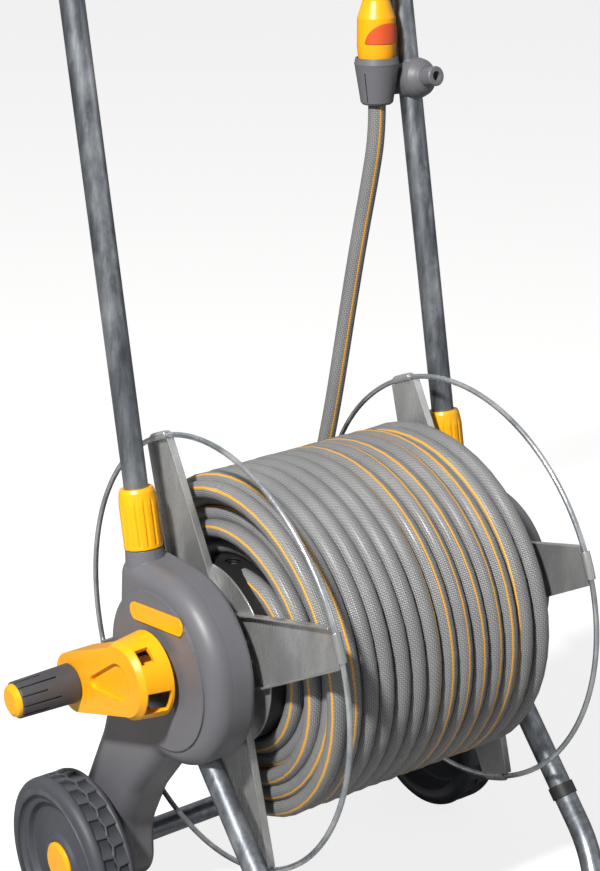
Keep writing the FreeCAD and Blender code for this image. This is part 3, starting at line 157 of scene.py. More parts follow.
def moulded(name, colour, deep, rough=0.42, grain=1500, grain_depth=0.05, worn=None, edge=0.0009,
            dirt=None):
    """Moulded plastic: cloudy colour, fine texture, softened edges that wear paler or darker.

    dirt(tree, where) gives how much painted shade and grime cover a place."""
    made, tree, out = material(name)
    where = object_place(tree)
    cloud = noise(tree, where, scale=9, detail=5)
    fleck = noise(tree, where, scale=240, detail=2)
    tone = mix_colour(tree, spread(tree, cloud, 0.3, 0.72), colour, deep)
    tone = mix_colour(tree, spread(tree, fleck, 0.52, 0.8, 0, 0.22), tone, deep)
    scuff = noise(tree, where, scale=55, detail=6, rough=0.7, stretch=(1, 1, 0.25))
    mask = math_node(tree, "MULTIPLY", edge_mask(tree, edge * 1.6),
                     spread(tree, scuff, 0.42, 0.66), clamp=True)
    tone = mix_colour(tree, math_node(tree, "MULTIPLY", mask, 0.45), tone, worn or deep)
    # Painted shade and grime, darker where dirt(tree, where) is high.
    if dirt:
        tone = mix_colour(tree, dirt(tree, where), tone, SHADE_AND_GRIME)
    grit = noise(tree, where, scale=grain, detail=2, rough=0.6)
    gloss = math_node(tree, "ADD", spread(tree, cloud, 0.2, 0.8, rough - 0.07, rough + 0.08),
                      spread(tree, scuff, 0.55, 0.8, 0, 0.12))
    bump = add(tree, "ShaderNodeBump", {"Strength": grain_depth * 4, "Distance": 0.0003,
                                        "Height": grit, "Normal": rounded_normal(tree, edge)})
    shader = add(tree, "ShaderNodeBsdfPrincipled", {"Base Color": tone, "Roughness": gloss,
                                                    "Normal": bump.outputs[0]})
    tree.links.new(shader.outputs[0], out.inputs[0])
    return made


def metal(name, dark, mid, light, rough=0.34, stretch=(1, 1, 0.05), scale=70, spangle=26,
          metallic=0.85, stain=None, edge=0.0005):
    """Galvanised or plated steel: streaks along the piece, cloudy zinc and a few stains."""
    made, tree, out = material(name)
    where = object_place(tree)
    streak = noise(tree, where, scale, detail=6, rough=0.68, stretch=stretch)
    cloud = noise(tree, where, scale=spangle, detail=5, rough=0.62, stretch=(1, 1, 0.45))
    blotch = noise(tree, where, scale=7, detail=3)
    tone = mix_colour(tree, spread(tree, streak, 0.34, 0.66), dark, mid)
    tone = mix_colour(tree, spread(tree, cloud, 0.47, 0.7, 0, 0.85), tone, light)
    tone = mix_colour(tree, spread(tree, blotch, 0.55, 0.75, 0, 0.5), tone, stain or dark)
    fine = noise(tree, where, scale=420, detail=3, rough=0.7, stretch=(1, 1, 0.12))
    gloss = math_node(tree, "ADD", spread(tree, cloud, 0.3, 0.75, rough + 0.12, rough - 0.08),
                      spread(tree, fine, 0.4, 0.7, -0.04, 0.07))
    bump = add(tree, "ShaderNodeBump", {"Strength": 0.16, "Distance": 0.0004, "Height": fine,
                                        "Normal": rounded_normal(tree, edge)})
    shader = add(tree, "ShaderNodeBsdfPrincipled", {"Base Color": tone, "Roughness": gloss,
                                                    "Metallic": metallic,
                                                    "Normal": bump.outputs[0]})
    tree.links.new(shader.outputs[0], out.inputs[0])
    return made


THREADS_ALONG = 270.0                       # braid threads per metre of hose
THREADS_ROUND = 14.0                        # braid threads once round the hose
LINE_CORE, LINE_EDGE = 0.017, 0.023         # half widths of the amber line, as shares of the round


def braided_hose(name):
    """Grey hose: fine crossed braid under the skin, a pale sheen, and one amber line along it."""
    made, tree, out = material(name)
    uv = add(tree, "ShaderNodeUVMap", uv_map="hose").outputs[0]
    split = add(tree, "ShaderNodeSeparateXYZ", {0: uv})
    along, round_it = split.outputs[0], split.outputs[1]
    waves = []
    for sign in (1, -1):
        turn = math_node(tree, "MULTIPLY", round_it, sign * THREADS_ROUND)
        phase = math_node(tree, "ADD", math_node(tree, "MULTIPLY", along, THREADS_ALONG), turn)
        wave = math_node(tree, "SINE", math_node(tree, "MULTIPLY", phase, FULL_TURN))
        waves.append(wave)
    braid = math_node(tree, "MULTIPLY", waves[0], waves[1])
    dots = spread(tree, braid, -0.35, 0.85)
    long_wave = spread(tree, waves[0], -0.6, 1.0)
    where = object_place(tree)
    cloud = noise(tree, where, scale=16, detail=5)
    dirt = noise(tree, where, scale=60, detail=5, rough=0.7)
    tone = mix_colour(tree, spread(tree, cloud, 0.3, 0.7),
                      (0.200, 0.203, 0.210), (0.150, 0.152, 0.160))
    tone = mix_colour(tree, math_node(tree, "MULTIPLY", dots, 0.62), tone, (0.44, 0.445, 0.45))
    tone = mix_colour(tree, math_node(tree, "MULTIPLY", long_wave, 0.42), tone,
                      (0.065, 0.067, 0.07))
    tone = mix_colour(tree, spread(tree, dirt, 0.56, 0.78, 0, 0.35), tone, (0.12, 0.12, 0.122))
    middle = math_node(tree, "ABSOLUTE", math_node(tree, "SUBTRACT", round_it, 0.5))
    wobble = spread(tree, cloud, 0.3, 0.7, -0.004, 0.004)
    stripe = spread(tree, math_node(tree, "ADD", middle, wobble), LINE_CORE, LINE_EDGE, 1, 0)
    amber_line = mix_colour(tree, dots, (0.66, 0.31, 0.03), (0.86, 0.47, 0.06))
    tone = mix_colour(tree, stripe, tone, amber_line)
    gloss = spread(tree, dirt, 0.3, 0.75, 0.25, 0.40)
    bump = add(tree, "ShaderNodeBump", {"Strength": 0.55, "Distance": 0.0005, "Height": dots})
    shader = add(tree, "ShaderNodeBsdfPrincipled", {"Base Color": tone, "Roughness": gloss,
                                                    "Normal": bump.outputs[0]})
    tree.links.new(shader.outputs[0], out.inputs[0])
    return made


# ---- mesh helpers --------------------------------------------------------------------------------

def linked(name, mesh):
    """A new object of this mesh, in the scene."""
    made = bpy.data.objects.new(name, mesh)
    scene.collection.objects.link(made)
    return made


def formed(name, form):
    """A new object of this working mesh, which is used up."""
    mesh = bpy.data.meshes.new(name)
    form.to_mesh(mesh)
    form.free()
    return linked(name, mesh)


def smooth(mesh, sharp=None):
    """Smooth shading, apart from edges that turn more than sharp, in degrees."""
    for polygon in mesh.polygons:
        polygon.use_smooth = True
    if sharp:
        mesh.set_sharp_from_angle(angle=math.radians(sharp))


def changed_mesh(made):
    """A new mesh of the object as its modifiers leave it."""
    bpy.context.view_layer.update()
    seen = made.evaluated_get(bpy.context.evaluated_depsgraph_get())
    return bpy.data.meshes.new_from_object(seen)


def add_prism(form, near, far):
    """Adds a closed prism between two outlines, given as rows of points."""
    near, far = [[form.verts.new(point) for point in row] for row in (near, far)]
    form.faces.new(near)
    form.faces.new(far[::-1])
    for i in range(len(near)):
        j = (i + 1) % len(near)
        form.faces.new((near[i], far[i], far[j], near[j]))


def face_outwards(form):
    bmesh.ops.recalc_face_normals(form, faces=form.faces)


# ---- hose ----------------------------------------------------------------------------------------

def spline_line(name, points, resolution=3):
    """The smooth line of a NURBS spline with these control points."""
    curve = bpy.data.curves.new(name, "CURVE")
    curve.dimensions = "3D"
    curve.resolution_u = resolution
    spline = curve.splines.new("NURBS")
    spline.points.add(len(points) - 1)
    for point, place in zip(spline.points, points):
        point.co = (*place, 1)
    spline.order_u = 3
    spline.use_endpoint_u = True
    holder = bpy.data.objects.new(name, curve)
    mesh = bpy.data.meshes.new_from_object(holder)
    line = [v.co.copy() for v in mesh.vertices]
    bpy.data.meshes.remove(mesh)
    bpy.data.objects.remove(holder)
    return line


def hose_mesh(name, line, outward, sides=14):
    """A closed tube along the line. outward(i) says which way its amber line faces there."""
    mesh = bpy.data.meshes.new(name)
    verts, faces, uvs = [], [], []
    length = [0.0]
    for a, b in zip(line, line[1:]):
        length.append(length[-1] + (b - a).length)
    for i, centre in enumerate(line):
        tangent = (line[min(i + 1, len(line) - 1)] - line[max(i - 1, 0)]).normalized()
        face = outward(i)
        face = (face - tangent * face.dot(tangent)).normalized()
        side = tangent.cross(face)
        for k in range(sides):
            turn = FULL_TURN * k / sides + math.pi      # half way round is the amber line
            verts.append(centre + (face * math.cos(turn) + side * math.sin(turn)) * HOSE / 2)
    for i in range(len(line) - 1):
        here, ahead = i * sides, (i + 1) * sides
        for k in range(sides):
            j = (k + 1) % sides
            faces.append((here + k, here + j, ahead + j, ahead + k))
            low, high = k / sides, (k + 1) / sides
            uvs += [(length[i], low), (length[i], high),
                    (length[i + 1], high), (length[i + 1], low)]
    # The two ends, coloured from beside the amber line.
    faces.append(tuple(range(sides))[::-1])
    faces.append(tuple(range((len(line) - 1) * sides, len(line) * sides)))
    uvs += [(0, 0.1)] * (2 * sides)
    mesh.from_pydata(verts, [], faces)
    layer = mesh.uv_layers.new(name="hose")
    for loop, uv in zip(layer.data, uvs):
        loop.uv = uv
    smooth(mesh)
    return linked(name, mesh)


# From the coil's last turn to the nozzle's connector, in mm from the middle of the drum's axis.
TAIL_ROUTE = ((101.0, 169.3, -14.0), (103.5, 170.2, 34.0), (110.0, 165.5, 84.0),
              (116.0, 157.5, 138.0), (123.0, 152.0, 200.0), (131.5, 148.5, 262.0),
              (137.5, 142.5, 318.0), (140.3, 132.0, 371.0), (140.7, 122.295, 418.553),
              (140.7, 123.342, 448.535))

POINTS_PER_TURN = 16
# A curve of order 3 runs inside its control points: its radius is this share of theirs.
SAG = 0.75 + 0.25 * math.cos(FULL_TURN / POINTS_PER_TURN)
END_TURN = math.atan2(TAIL_ROUTE[0][2], TAIL_ROUTE[0][1]) / FULL_TURN

# Each row is a place along the winding: turns so far, x in mm from the middle, radius in mm.
LAYERS = ((0.0, -117.0, 72.0), (0.15, -118.0, 92.5), (12.9, 118.0, 92.5), (13.2, 119.5, 107.2),
          (25.9, -118.5, 107.2), (26.2, -119.5, 121.9), (38.9, 118.0, 121.9),
          (39.2, 119.5, 136.6), (51.7, -118.5, 136.6), (52.1, -119.5, 151.0),
          (57.4, -26.0, 151.6), (61.5, 47.0, 152.6), (64.2, 95.0, 153.4), (65.42, 119.0, 153.6),
          (65.58, 110.0, 162.0), (65.737, 101.0, 169.7))

# The turns don't lie quite evenly: they lean aside and stand out by chance, both in mm.
LEAN_ASIDE, STAND_OUT = 0.8, 0.7
LEANS = 90                                  # at least as many as the whole winding takes
LEANS_PER_TURN, WAVE_PER_TURN = 1.3, 4.1    # the wave in radians
STEADY_TURNS = 0.4                          # over this last stretch both die out


def keyed(rows, at, column):
    """The value in that column at a place between two rows."""
    for low, high in zip(rows, rows[1:]):
        if at <= high[0]:
            share = (at - low[0]) / (high[0] - low[0])
            return low[column] + (high[column] - low[column]) * share
    return rows[-1][column]


def winding():
    """Control points of the wound hose, from the core's outlet to where the free end leaves."""
    total = LAYERS[-1][0]
    steps = int(round(total * POINTS_PER_TURN))
    shake = random.Random(11)
    drift = [shake.uniform(-1, 1) for _ in range(LEANS)]
    points = []
    for i in range(steps + 1):
        turns = i * total / steps
        x = keyed(LAYERS, turns, 1)
        radius = keyed(LAYERS, turns, 2)
        drift_at = turns * LEANS_PER_TURN
        low = int(drift_at)
        lean = drift[low] + (drift[low + 1] - drift[low]) * (drift_at - low)
        free = min(1.0, (total - turns) / STEADY_TURNS)
        x += LEAN_ASIDE * lean * free
        radius += STAND_OUT * free * math.sin(turns * WAVE_PER_TURN) * abs(lean)
        angle = FULL_TURN * (turns - total + END_TURN)
        reach = radius / SAG if i < steps else radius
        points.append(from_axis(x, reach * math.cos(angle), reach * math.sin(angle)))
    return points


# Where the amber line faces on the outer layer: x in mm, then degrees from outward towards -X.
LINE_FACES = ((-130, 75), (-112, 60), (-98, 10), (-84, -80), (-66, -115), (-34, -110), (-14, -40),
              (2, 12), (20, -8), (38, 18), (52, -26), (68, 8), (84, 20), (95, 62), (104, 125),
              (130, 150))
INNER_LAYERS = 0.147                        # radius under which the line also wanders
WANDER, WANDER_PER_POINT = 0.9, 0.011       # in radians
LEFT_FACE, LEFT_FADE = -0.1, 0.05           # it starts here, and takes that much to grow

coil_line = spline_line("winding", winding())


def coil_outward(i):
    """Which way the amber line faces at this place of the coil's line."""
    place = coil_line[i] - SHIFT
    radial = Vector((0, place.y, place.z)).normalized()
    turn = math.radians(keyed(LINE_FACES, place.x * 1000, 1))
    if Vector((place.y, place.z)).length < INNER_LAYERS:
        grown = max(0.0, min(1.0, (place.x - LEFT_FACE) / LEFT_FADE))
        turn += WANDER * math.sin(i * WANDER_PER_POINT) * grown
    return radial * math.cos(turn) + Vector((-1, 0, 0)) * math.sin(turn)


hose_finish = braided_hose("braided_hose")
coil = hose_mesh("wound_hose", coil_line, coil_outward)
coil.data.materials.append(hose_finish)
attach(coil, "drum")
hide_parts("hose_coil")

tail_line = spline_line("free_end", [from_axis(*p) for p in TAIL_ROUTE], resolution=8)
tail = hose_mesh("hose_free_end", tail_line, lambda i: Vector((-0.25, -1, 0)), sides=20)
tail.data.materials.append(hose_finish)
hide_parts("hose_tail")
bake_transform(tail)


# ---- wheels --------------------------------------------------------------------------------------

WHEEL_RADIUS, WHEEL_WIDTH, AXLE_BORE = 0.0845, 0.042, 0.01058
WHEEL_FACE = 0.247                          # outer face from the mid plane
OUTER_SHOULDER, INNER_SHOULDER = 0.008, 0.005   # radii
POCKET_DEPTH = 0.0031                       # of the tread's pockets
AXLE = from_axis(0, 117, -237.5)
TREAD_PITCHES = 27


def lathe(name, profile, side, steps=96):
    """A closed profile of (x from the mid plane, radius) turned about the wheel's axle."""
    form = bmesh.new()
    rings = []
    for k in range(steps):
        turn = FULL_TURN * k / steps
        rings.append([form.verts.new((SHIFT.x + side * x, AXLE.y + r * math.sin(turn),
                                      AXLE.z + r * math.cos(turn))) for x, r in profile])
    count = len(profile)
    for k in range(steps):
        here, ahead = rings[k], rings[(k + 1) % steps]
        for i in range(count):
            j = (i + 1) % count
            form.faces.new((here[i], here[j], ahead[j], ahead[i]))
    face_outwards(form)
    made = formed(name, form)
    smooth(made.data)
    return made


def softened(points, reach, steps=3):
    """The profile with each corner replaced by a curve that starts at most reach away."""
    out = []
    for i, corner in enumerate(points):
        corner = Vector(corner)
        before, after = Vector(points[i - 1]), Vector(points[(i + 1) % len(points)])
        cut = min(reach, 0.45 * (before - corner).length, 0.45 * (after - corner).length)
        start = corner + (before - corner).normalized() * cut
        end = corner + (after - corner).normalized() * cut
        for k in range(steps + 1):
            t = k / steps
            out.append(tuple(start * (1 - t) ** 2 + corner * 2 * t * (1 - t) + end * t ** 2))
    return out


def tread_shade_and_grime(tree, where):
    """Painted shade, with some grime, that thickens towards the bottom of the tread's pockets."""
    place = add(tree, "ShaderNodeSeparateXYZ", {0: where})
    y = math_node(tree, "SUBTRACT", place.outputs[1], AXLE.y)
    z = math_node(tree, "SUBTRACT", place.outputs[2], AXLE.z)
    square = math_node(tree, "ADD", math_node(tree, "MULTIPLY", y, y),
                       math_node(tree, "MULTIPLY", z, z))
    radius = math_node(tree, "SQRT", square)
    return spread(tree, radius, WHEEL_RADIUS - POCKET_DEPTH, WHEEL_RADIUS - 0.0006, 0.8, 0.0)


# The tread's ribs, from the steep front to the scooped slope behind: metres along, share of depth.
RIB_SHAPE = ((-0.0060, 0.0), (-0.0051, 1.0), (-0.0026, 1.0), (0.0008, 0.76), (0.0050, 0.46),
             (0.0096, 0.23), (0.0142, 0.11), (0.0142, 0.0))
RIB_LEAN = 0.0006                           # how far a rib's ends lie ahead or behind
RIB_EDGE = 0.0005                           # the bevel round a rib's top
ZIGZAG_HALF, ZIGZAG_SWING = 0.0012, 0.0011  # the middle rib's half width, and its way to each side


def tread_unit(name, side, low, high):
    """One pitch of the tread at the wheel's top: a rib in each row and a zigzag rib between."""
    form = bmesh.new()
    pitch = FULL_TURN * WHEEL_RADIUS / TREAD_PITCHES
    # Just under the groove's floor, and just under the wheel's shoulders.
    floor, top = WHEEL_RADIUS - POCKET_DEPTH - 0.0002, WHEEL_RADIUS - 0.0001
    middle = (low + high) / 2
    walls = []
    for x_low, x_high, along, lean in ((low, middle - ZIGZAG_HALF, 0.0, -RIB_LEAN),
                                       (middle + ZIGZAG_HALF, high, pitch / 2, RIB_LEAN)):
        walls.append([[(x, along + y + tilt, floor + (top - floor) * share)
                       for y, share in RIB_SHAPE]
                      for x, tilt in ((x_low, -lean), (x_high, lean))])
    for start, sign in ((-pitch / 4, 1), (pitch / 4, -1)):
        near, far = middle - sign * ZIGZAG_SWING, middle + sign * ZIGZAG_SWING
        end = start + pitch / 2
        walls.append([[(near + edge, start, floor), (near + edge, start, top),
                       (far + edge, end, top), (far + edge, end, floor)]
                      for edge in (-ZIGZAG_HALF, ZIGZAG_HALF)])
    for wall in walls:
        add_prism(form, *[[(side * x, y, z) for x, y, z in row] for row in wall])
    rims = [edge for edge in form.edges if all(vert.co.z > top - 0.00001 for vert in edge.verts)]
    for vert in form.verts:
        turn, radius = vert.co.y / WHEEL_RADIUS, vert.co.z
        vert.co.y, vert.co.z = radius * math.sin(turn), radius * math.cos(turn)
    face_outwards(form)
    bmesh.ops.bevel(form, geom=rims, offset=RIB_EDGE, segments=1, affect="EDGES")
    return formed(name, form)


def ring_of(name, block, count, finish):
    """One piece repeated round the wheel's axle by a node group, as one finished mesh."""
    group = bpy.data.node_groups.new(name, "GeometryNodeTree")
    shell = group.interface
    shell.new_socket("Geometry", in_out="INPUT", socket_type="NodeSocketGeometry")
    repeats = shell.new_socket("Repeats", in_out="INPUT", socket_type="NodeSocketInt")
    shell.new_socket("Geometry", in_out="OUTPUT", socket_type="NodeSocketGeometry")
    enter = group.nodes.new("NodeGroupInput")
    leave = group.nodes.new("NodeGroupOutput")
    line = add(group, "GeometryNodePoints", {"Count": enter.outputs["Repeats"]})
    index = add(group, "GeometryNodeInputIndex")
    share = math_node(group, "DIVIDE", index.outputs[0], enter.outputs["Repeats"])
    spin = add(group, "ShaderNodeCombineXYZ", {0: math_node(group, "MULTIPLY", share, FULL_TURN)})
    placed = add(group, "GeometryNodeInstanceOnPoints",
                 {"Points": line.outputs[0], "Instance": enter.outputs["Geometry"],
                  "Rotation": spin.outputs[0]})
    real = add(group, "GeometryNodeRealizeInstances", {"Geometry": placed.outputs[0]})
    coated = add(group, "GeometryNodeSetMaterial", {"Geometry": real.outputs[0],
                                                    "Material": finish})
    group.links.new(coated.outputs[0], leave.inputs[0])
    modifier = block.modifiers.new("repeat", "NODES")
    modifier.node_group = group
    modifier[repeats.identifier] = count
    mesh = changed_mesh(block)
    mesh.transform(Matrix.Translation((SHIFT.x, AXLE.y, AXLE.z)))
    smooth(mesh, sharp=32)
    bpy.data.objects.remove(block)
    return linked(name, mesh)


def wheel(tag, side):
    """A moulded wheel: round shoulders, a dished face with a ledge, and a pocketed tread."""
    back, face, full = WHEEL_FACE - WHEEL_WIDTH, WHEEL_FACE, WHEEL_RADIUS
    floor = full - POCKET_DEPTH
    hub_end, well, hollow = back - 0.004, face - 0.014, face - 0.0215
    low, high = back + 0.006, face - 0.0105
    outer_shoulder = [(face - OUTER_SHOULDER * (1 - math.cos(turn)),
                       full - OUTER_SHOULDER * (1 - math.sin(turn)))
                      for turn in (0, 0.4, 0.8, 1.2, math.pi / 2)]
    inner_shoulder = [(back + INNER_SHOULDER * (1 - math.cos(turn)),
                       full - INNER_SHOULDER * (1 - math.sin(turn)))
                      for turn in (math.pi / 2, 1.0, 0.5, 0)]
    corner = 0.0012
    # From the bore out over the cap's well, the dished face, its ledge and the rim.
    profile = softened([
        (hub_end, AXLE_BORE), (well, AXLE_BORE), (well, 0.0212), (face - 0.006, 0.0212),
        (face - 0.006, 0.0265), (face - 0.0095, 0.0295), (face - 0.0125, 0.050),
        (face - 0.0120, 0.0585), (face - 0.0055, 0.0605), (face - 0.0050, 0.067),
        (face, 0.0695)], corner)
    # The tread's groove between the shoulders.
    profile += outer_shoulder + [(high, full), (high - 0.0007, floor), (low + 0.0007, floor),
                                 (low, full)] + inner_shoulder
    # The hollow back, down to the hub.
    profile += softened([(back, 0.068), (hollow, 0.062), (hollow, 0.027), (hub_end, 0.022)], corner)
    body = lathe("wheel_%s_body" % tag, profile, side)
    body.data.materials.append(tyre_grey)
    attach(body, "wheel_" + tag)
    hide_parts("wheel_" + tag)
    name = "wheel_%s_tread" % tag
    unit = tread_unit(name + "_unit", side, low, high)
    tread = ring_of(name, unit, TREAD_PITCHES, tread_grey)
    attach(tread, "wheel_" + tag)


# ---- pieces worked from the CAD's ----------------------------------------------------------------

SAME_POINT = 0.000002                       # points closer than this are one


def solid_copy(node, name):
    """A copy of a CAD piece at its place, as one closed mesh without its own shading."""
    mesh = nodes[node].data.copy()
    mesh.transform(nodes[node].matrix_world)
    for shading in ("custom_normal", "sharp_edge"):
        if shading in mesh.attributes:
            mesh.attributes.remove(mesh.attributes[shading])
    form = bmesh.new()
    form.from_mesh(mesh)
    bmesh.ops.remove_doubles(form, verts=form.verts, dist=SAME_POINT)
    form.to_mesh(mesh)
    form.free()
    return linked(name, mesh)


def carved(made, steps, finish):
    """Works each block into the piece in turn, then gives it its shading and its finish."""
    for i, (way, block) in enumerate(steps):
        change = made.modifiers.new("step_%d" % i, "BOOLEAN")
        change.operation, change.solver, change.object = way, "EXACT", block
    finished = changed_mesh(made)
    made.modifiers.clear()
    made.data = finished
    for _, block in steps:
        bpy.data.objects.remove(block)
    smooth(finished, sharp=28)
    finished.materials.clear()
    finished.materials.append(finish)


ARM_TURN = math.radians(-22)                # the arm points to the rear and down
CRANK_FACE = -237.0                         # the crank's outer face, in mm from the mid plane
WALL_INSIDE, WALL_OUTSIDE = 26, 48          # radii in mm, clear of the cup's side wall


def teardrop(root, wide, tip, slim, steps=14):
    """Outline in mm round two circles on the arm's line; each is a place along it and a radius."""
    lean = math.acos((wide - slim) / (tip - root))
    points = []
    for k in range(steps + 1):
        turn = lean + (FULL_TURN - 2 * lean) * k / steps
        points.append((root + wide * math.cos(turn), wide * math.sin(turn)))
    for k in range(steps + 1):
        turn = -lean + 2 * lean * k / steps
        points.append((tip + slim * math.cos(turn), slim * math.sin(turn)))
    return points


def window_outline(width, degrees):
    """A slot through the cup's side wall, at an angle above the front."""
    turn = math.radians(degrees)
    corners = ((WALL_INSIDE, -width / 2), (WALL_OUTSIDE, -width / 2), (WALL_OUTSIDE, width / 2),
               (WALL_INSIDE, width / 2))
    return [(-r * math.cos(turn) + t * math.sin(turn), r * math.sin(turn) + t * math.cos(turn))
            for r, t in corners]


def crank_block(outline, start, end):
    """A prism along X between two depths in mm below the crank's outer face."""
    form = bmesh.new()
    add_prism(form, *[[from_axis(CRANK_FACE + depth,
                                 a * math.cos(ARM_TURN) - b * math.sin(ARM_TURN),
                                 a * math.sin(ARM_TURN) + b * math.cos(ARM_TURN))
                       for a, b in outline] for depth in (start, end)])
    face_outwards(form)
    return formed("crank_block", form)


def crank_cover():
    """The crank with its thumb recess over the shaft and wide windows in the cup's side."""
    made = solid_copy("crank_arm", "crank_cover")
    fill_old_recess = ("UNION", crank_block(teardrop(33, 15.4, 68.3, 6.4), 0, 2.6))
    back_of_recess = ("UNION", crank_block(teardrop(4, 19.5, 50, 8.5), 0.5, 5))
    recess = ("DIFFERENCE", crank_block(teardrop(4, 17, 50, 6), -2, 3.5))
    lower_window = ("DIFFERENCE", crank_block(window_outline(23, -40), 6, 28))
    upper_window = ("DIFFERENCE", crank_block(window_outline(15, 33), 6.5, 19))
    carved(made, (fill_old_recess, back_of_recess, recess, lower_window, upper_window), amber)
    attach(made, "drum")
    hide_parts("crank_arm")


ARCH_SPAN = 0.93                            # share of the plate's width
ARCH_POWER = 0.8                            # 1 gives half an ellipse, less a fuller arch
ARCH_STEPS = 24


def arch_block(around):
    """A prism along Y through that piece, whose section is an arch as tall as the piece."""
    corners = [v.co for v in around.data.vertices]
    low, high = [[pick(c[i] for c in corners) for i in range(3)] for pick in (min, max)]
    middle, half = (low[0] + high[0]) / 2, (high[0] - low[0]) / 2 * ARCH_SPAN
    tall, foot = high[2] - low[2], low[2] - 0.002
    outline = [(middle + half, foot)]
    for k in range(ARCH_STEPS + 1):
        turn = math.pi * k / ARCH_STEPS
        across = math.copysign(abs(math.cos(turn)) ** ARCH_POWER, math.cos(turn))
        up = abs(math.sin(turn)) ** ARCH_POWER
        outline.append((middle + half * across, low[2] + tall * up))
    outline.append((middle - half, foot))
    form = bmesh.new()
    add_prism(form, *[[(x, y, z) for x, z in outline] for y in (low[1] - 0.01, high[1] + 0.01)])
    face_outwards(form)
    return formed("arch_block", form)


def label_plate():
    """The nozzle's bare plate, cut to an arch."""
    made = solid_copy("nozzle_label", "label_plate")
    carved(made, (("INTERSECT", arch_block(made)),), plate)
    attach(made, "nozzle")
    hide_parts("nozzle_label")


# ---- finishes ------------------------------------------------------------------------------------

hub_grey = moulded("moulded_grey", (0.150, 0.150, 0.168), (0.125, 0.125, 0.142), rough=0.40,
                   worn=(0.24, 0.24, 0.26))
amber = moulded("amber_plastic", (0.98, 0.46, 0.004), (0.88, 0.37, 0.003), rough=0.34,
                grain_depth=0.02, worn=(1.0, 0.56, 0.03))
tyre_grey = moulded("wheel_plastic", (0.060, 0.066, 0.080), (0.045, 0.050, 0.062), rough=0.5,
                    worn=(0.12, 0.125, 0.14))
# The tread gets painted shade, with some grime, deep in its pockets.
tread_grey = moulded("tread_plastic", (0.068, 0.074, 0.088), (0.052, 0.057, 0.069), rough=0.5,
                     worn=(0.14, 0.145, 0.16), dirt=tread_shade_and_grime)
dark_grip = moulded("soft_grip", (0.062, 0.063, 0.075), (0.045, 0.046, 0.055), rough=0.48,
                    worn=(0.11, 0.11, 0.125))
black = moulded("black_plastic", (0.014, 0.014, 0.015), (0.010, 0.010, 0.011), rough=0.45)
nylon = moulded("nylon_bush", (0.62, 0.61, 0.58), (0.54, 0.53, 0.50), rough=0.4)
plate = moulded("bare_plate", (0.74, 0.11, 0.03), (0.62, 0.08, 0.02), rough=0.35)
tube_zinc = ((0.10, 0.112, 0.130), (0.25, 0.27, 0.30), (0.58, 0.61, 0.65))
tube_up = metal("galvanised_upright", *tube_zinc, stretch=(1, 1, 0.025), scale=110)
tube_across = metal("galvanised_across", *tube_zinc, stretch=(0.025, 1, 1), scale=110)
wire = metal("zinc_wire", (0.33, 0.36, 0.39), (0.55, 0.58, 0.62), (0.80, 0.83, 0.86), rough=0.22,
             stretch=(1, 1, 1), scale=34)
sheet = metal("pressed_steel", (0.34, 0.35, 0.355), (0.46, 0.47, 0.47), (0.70, 0.71, 0.71),
              rough=0.30, stretch=(1, 0.3, 0.3), scale=22, spangle=14, metallic=0.7,
              stain=(0.31, 0.32, 0.31), edge=0.0012)
screws = metal("plated_screws", (0.25, 0.25, 0.26), (0.42, 0.42, 0.44), (0.62, 0.62, 0.64),
               rough=0.3)

for tag, side in (("left", -1), ("right", 1)):
    wheel(tag, side)
crank_cover()
label_plate()

FINISH_OF_SLOT = {
    "hub_grey": hub_grey, "amber": amber, "galvanised": tube_up, "pressed_steel": sheet,
    "ring_wire": wire, "screw_steel": screws, "wheel_grey": tyre_grey, "black_plastic": black,
    "bush_white": nylon, "hose_grey": hose_finish, "grip_grey": dark_grip, "seal": black,
    "label_plain": plate,
}
for part in frame["record"]["subparts"]:
    node = nodes[part["node"]]
    finish = FINISH_OF_SLOT[part["material_slot"]]
    if part["node"] in ("foot_tube", "axle_rod"):
        finish = tube_across                # these two run along X
    node.data.materials.clear()
    node.data.materials.append(finish)

# ---- floor, light and background -----------------------------------------------------------------

FLOOR_REACH = 14
FLOOR_TONE, FLOOR_GLOW = 0.40, 0.82         # what it reflects, and what the camera sees of it
AROUND_DULL, AROUND_SHINY = 0.10, 0.55      # the surroundings' light on dull and on shiny faces

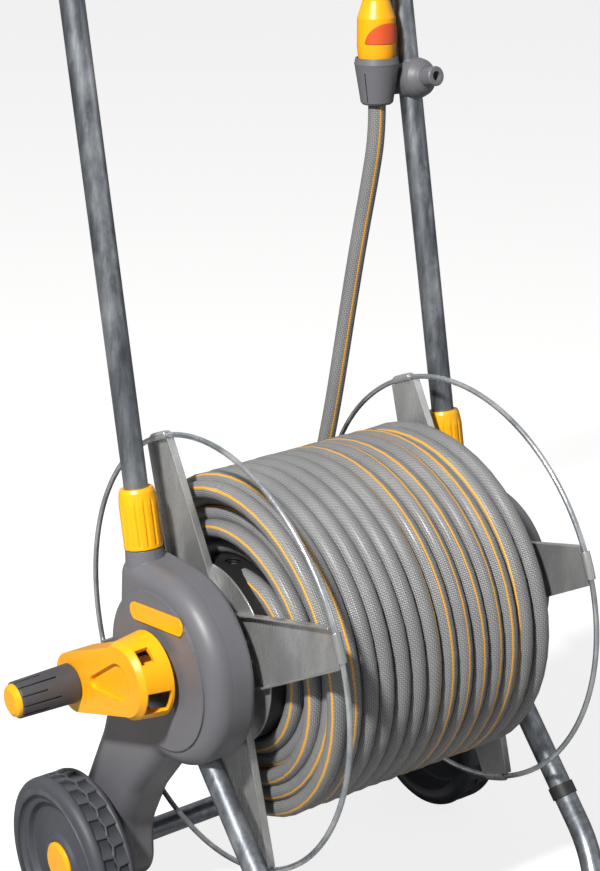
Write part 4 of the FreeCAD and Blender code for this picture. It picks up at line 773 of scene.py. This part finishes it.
floor_mesh = bpy.data.meshes.new("floor")
floor_mesh.from_pydata([(-FLOOR_REACH, -FLOOR_REACH, 0), (FLOOR_REACH, -FLOOR_REACH, 0),
                        (FLOOR_REACH, FLOOR_REACH, 0), (-FLOOR_REACH, FLOOR_REACH, 0)],
                       [], [(0, 1, 2, 3)])
floor = linked("floor", floor_mesh)
floor_finish, tree, out = material("pale_floor")
ray = add(tree, "ShaderNodeLightPath").outputs
lit = add(tree, "ShaderNodeBsdfDiffuse", {"Color": (FLOOR_TONE, FLOOR_TONE, FLOOR_TONE, 1)})
glow = add(tree, "ShaderNodeEmission",
           {"Strength": math_node(tree, "MULTIPLY", ray["Is Camera Ray"], FLOOR_GLOW)})
both = add(tree, "ShaderNodeAddShader", {0: lit.outputs[0], 1: glow.outputs[0]})
tree.links.new(both.outputs[0], out.inputs[0])
floor.data.materials.append(floor_finish)

world = bpy.data.worlds.new("studio")
world.use_nodes = True
tree = world.node_tree
tree.nodes.clear()
ray = add(tree, "ShaderNodeLightPath").outputs
seen = math_node(tree, "MAXIMUM", ray["Is Camera Ray"], ray["Is Transmission Ray"])
mirrored = spread(tree, ray["Is Glossy Ray"], 0, 1, AROUND_DULL, AROUND_SHINY)
shine = add(tree, "ShaderNodeBackground",
            {"Color": (1, 1, 1, 1), "Strength": math_node(tree, "MAXIMUM", seen, mirrored)})
out = add(tree, "ShaderNodeOutputWorld")
tree.links.new(shine.outputs[0], out.inputs[0])
scene.world = world


def lamp(name, place, aim, size, power, colour):
    """A round lamp at that place; sizes in metres, power in watts."""
    made = bpy.data.objects.new(name, bpy.data.lights.new(name, "AREA"))
    made.data.shape = "DISK"
    made.data.size = size
    made.data.energy = power
    made.data.color = colour
    made.location = place
    made.rotation_mode = "QUATERNION"
    made.rotation_quaternion = (Vector(aim) - Vector(place)).to_track_quat("-Z", "Y")
    scene.collection.objects.link(made)


lamp("key", (-2.0, -0.95, 2.65), (0, 0, 0.35), size=0.26, power=160, colour=(1.0, 0.985, 0.95))
lamp("fill", (1.8, -1.6, 1.2), (0, 0, 0.4), size=1.6, power=3, colour=(0.95, 0.97, 1.0))
scene.view_settings.view_transform = "Standard"
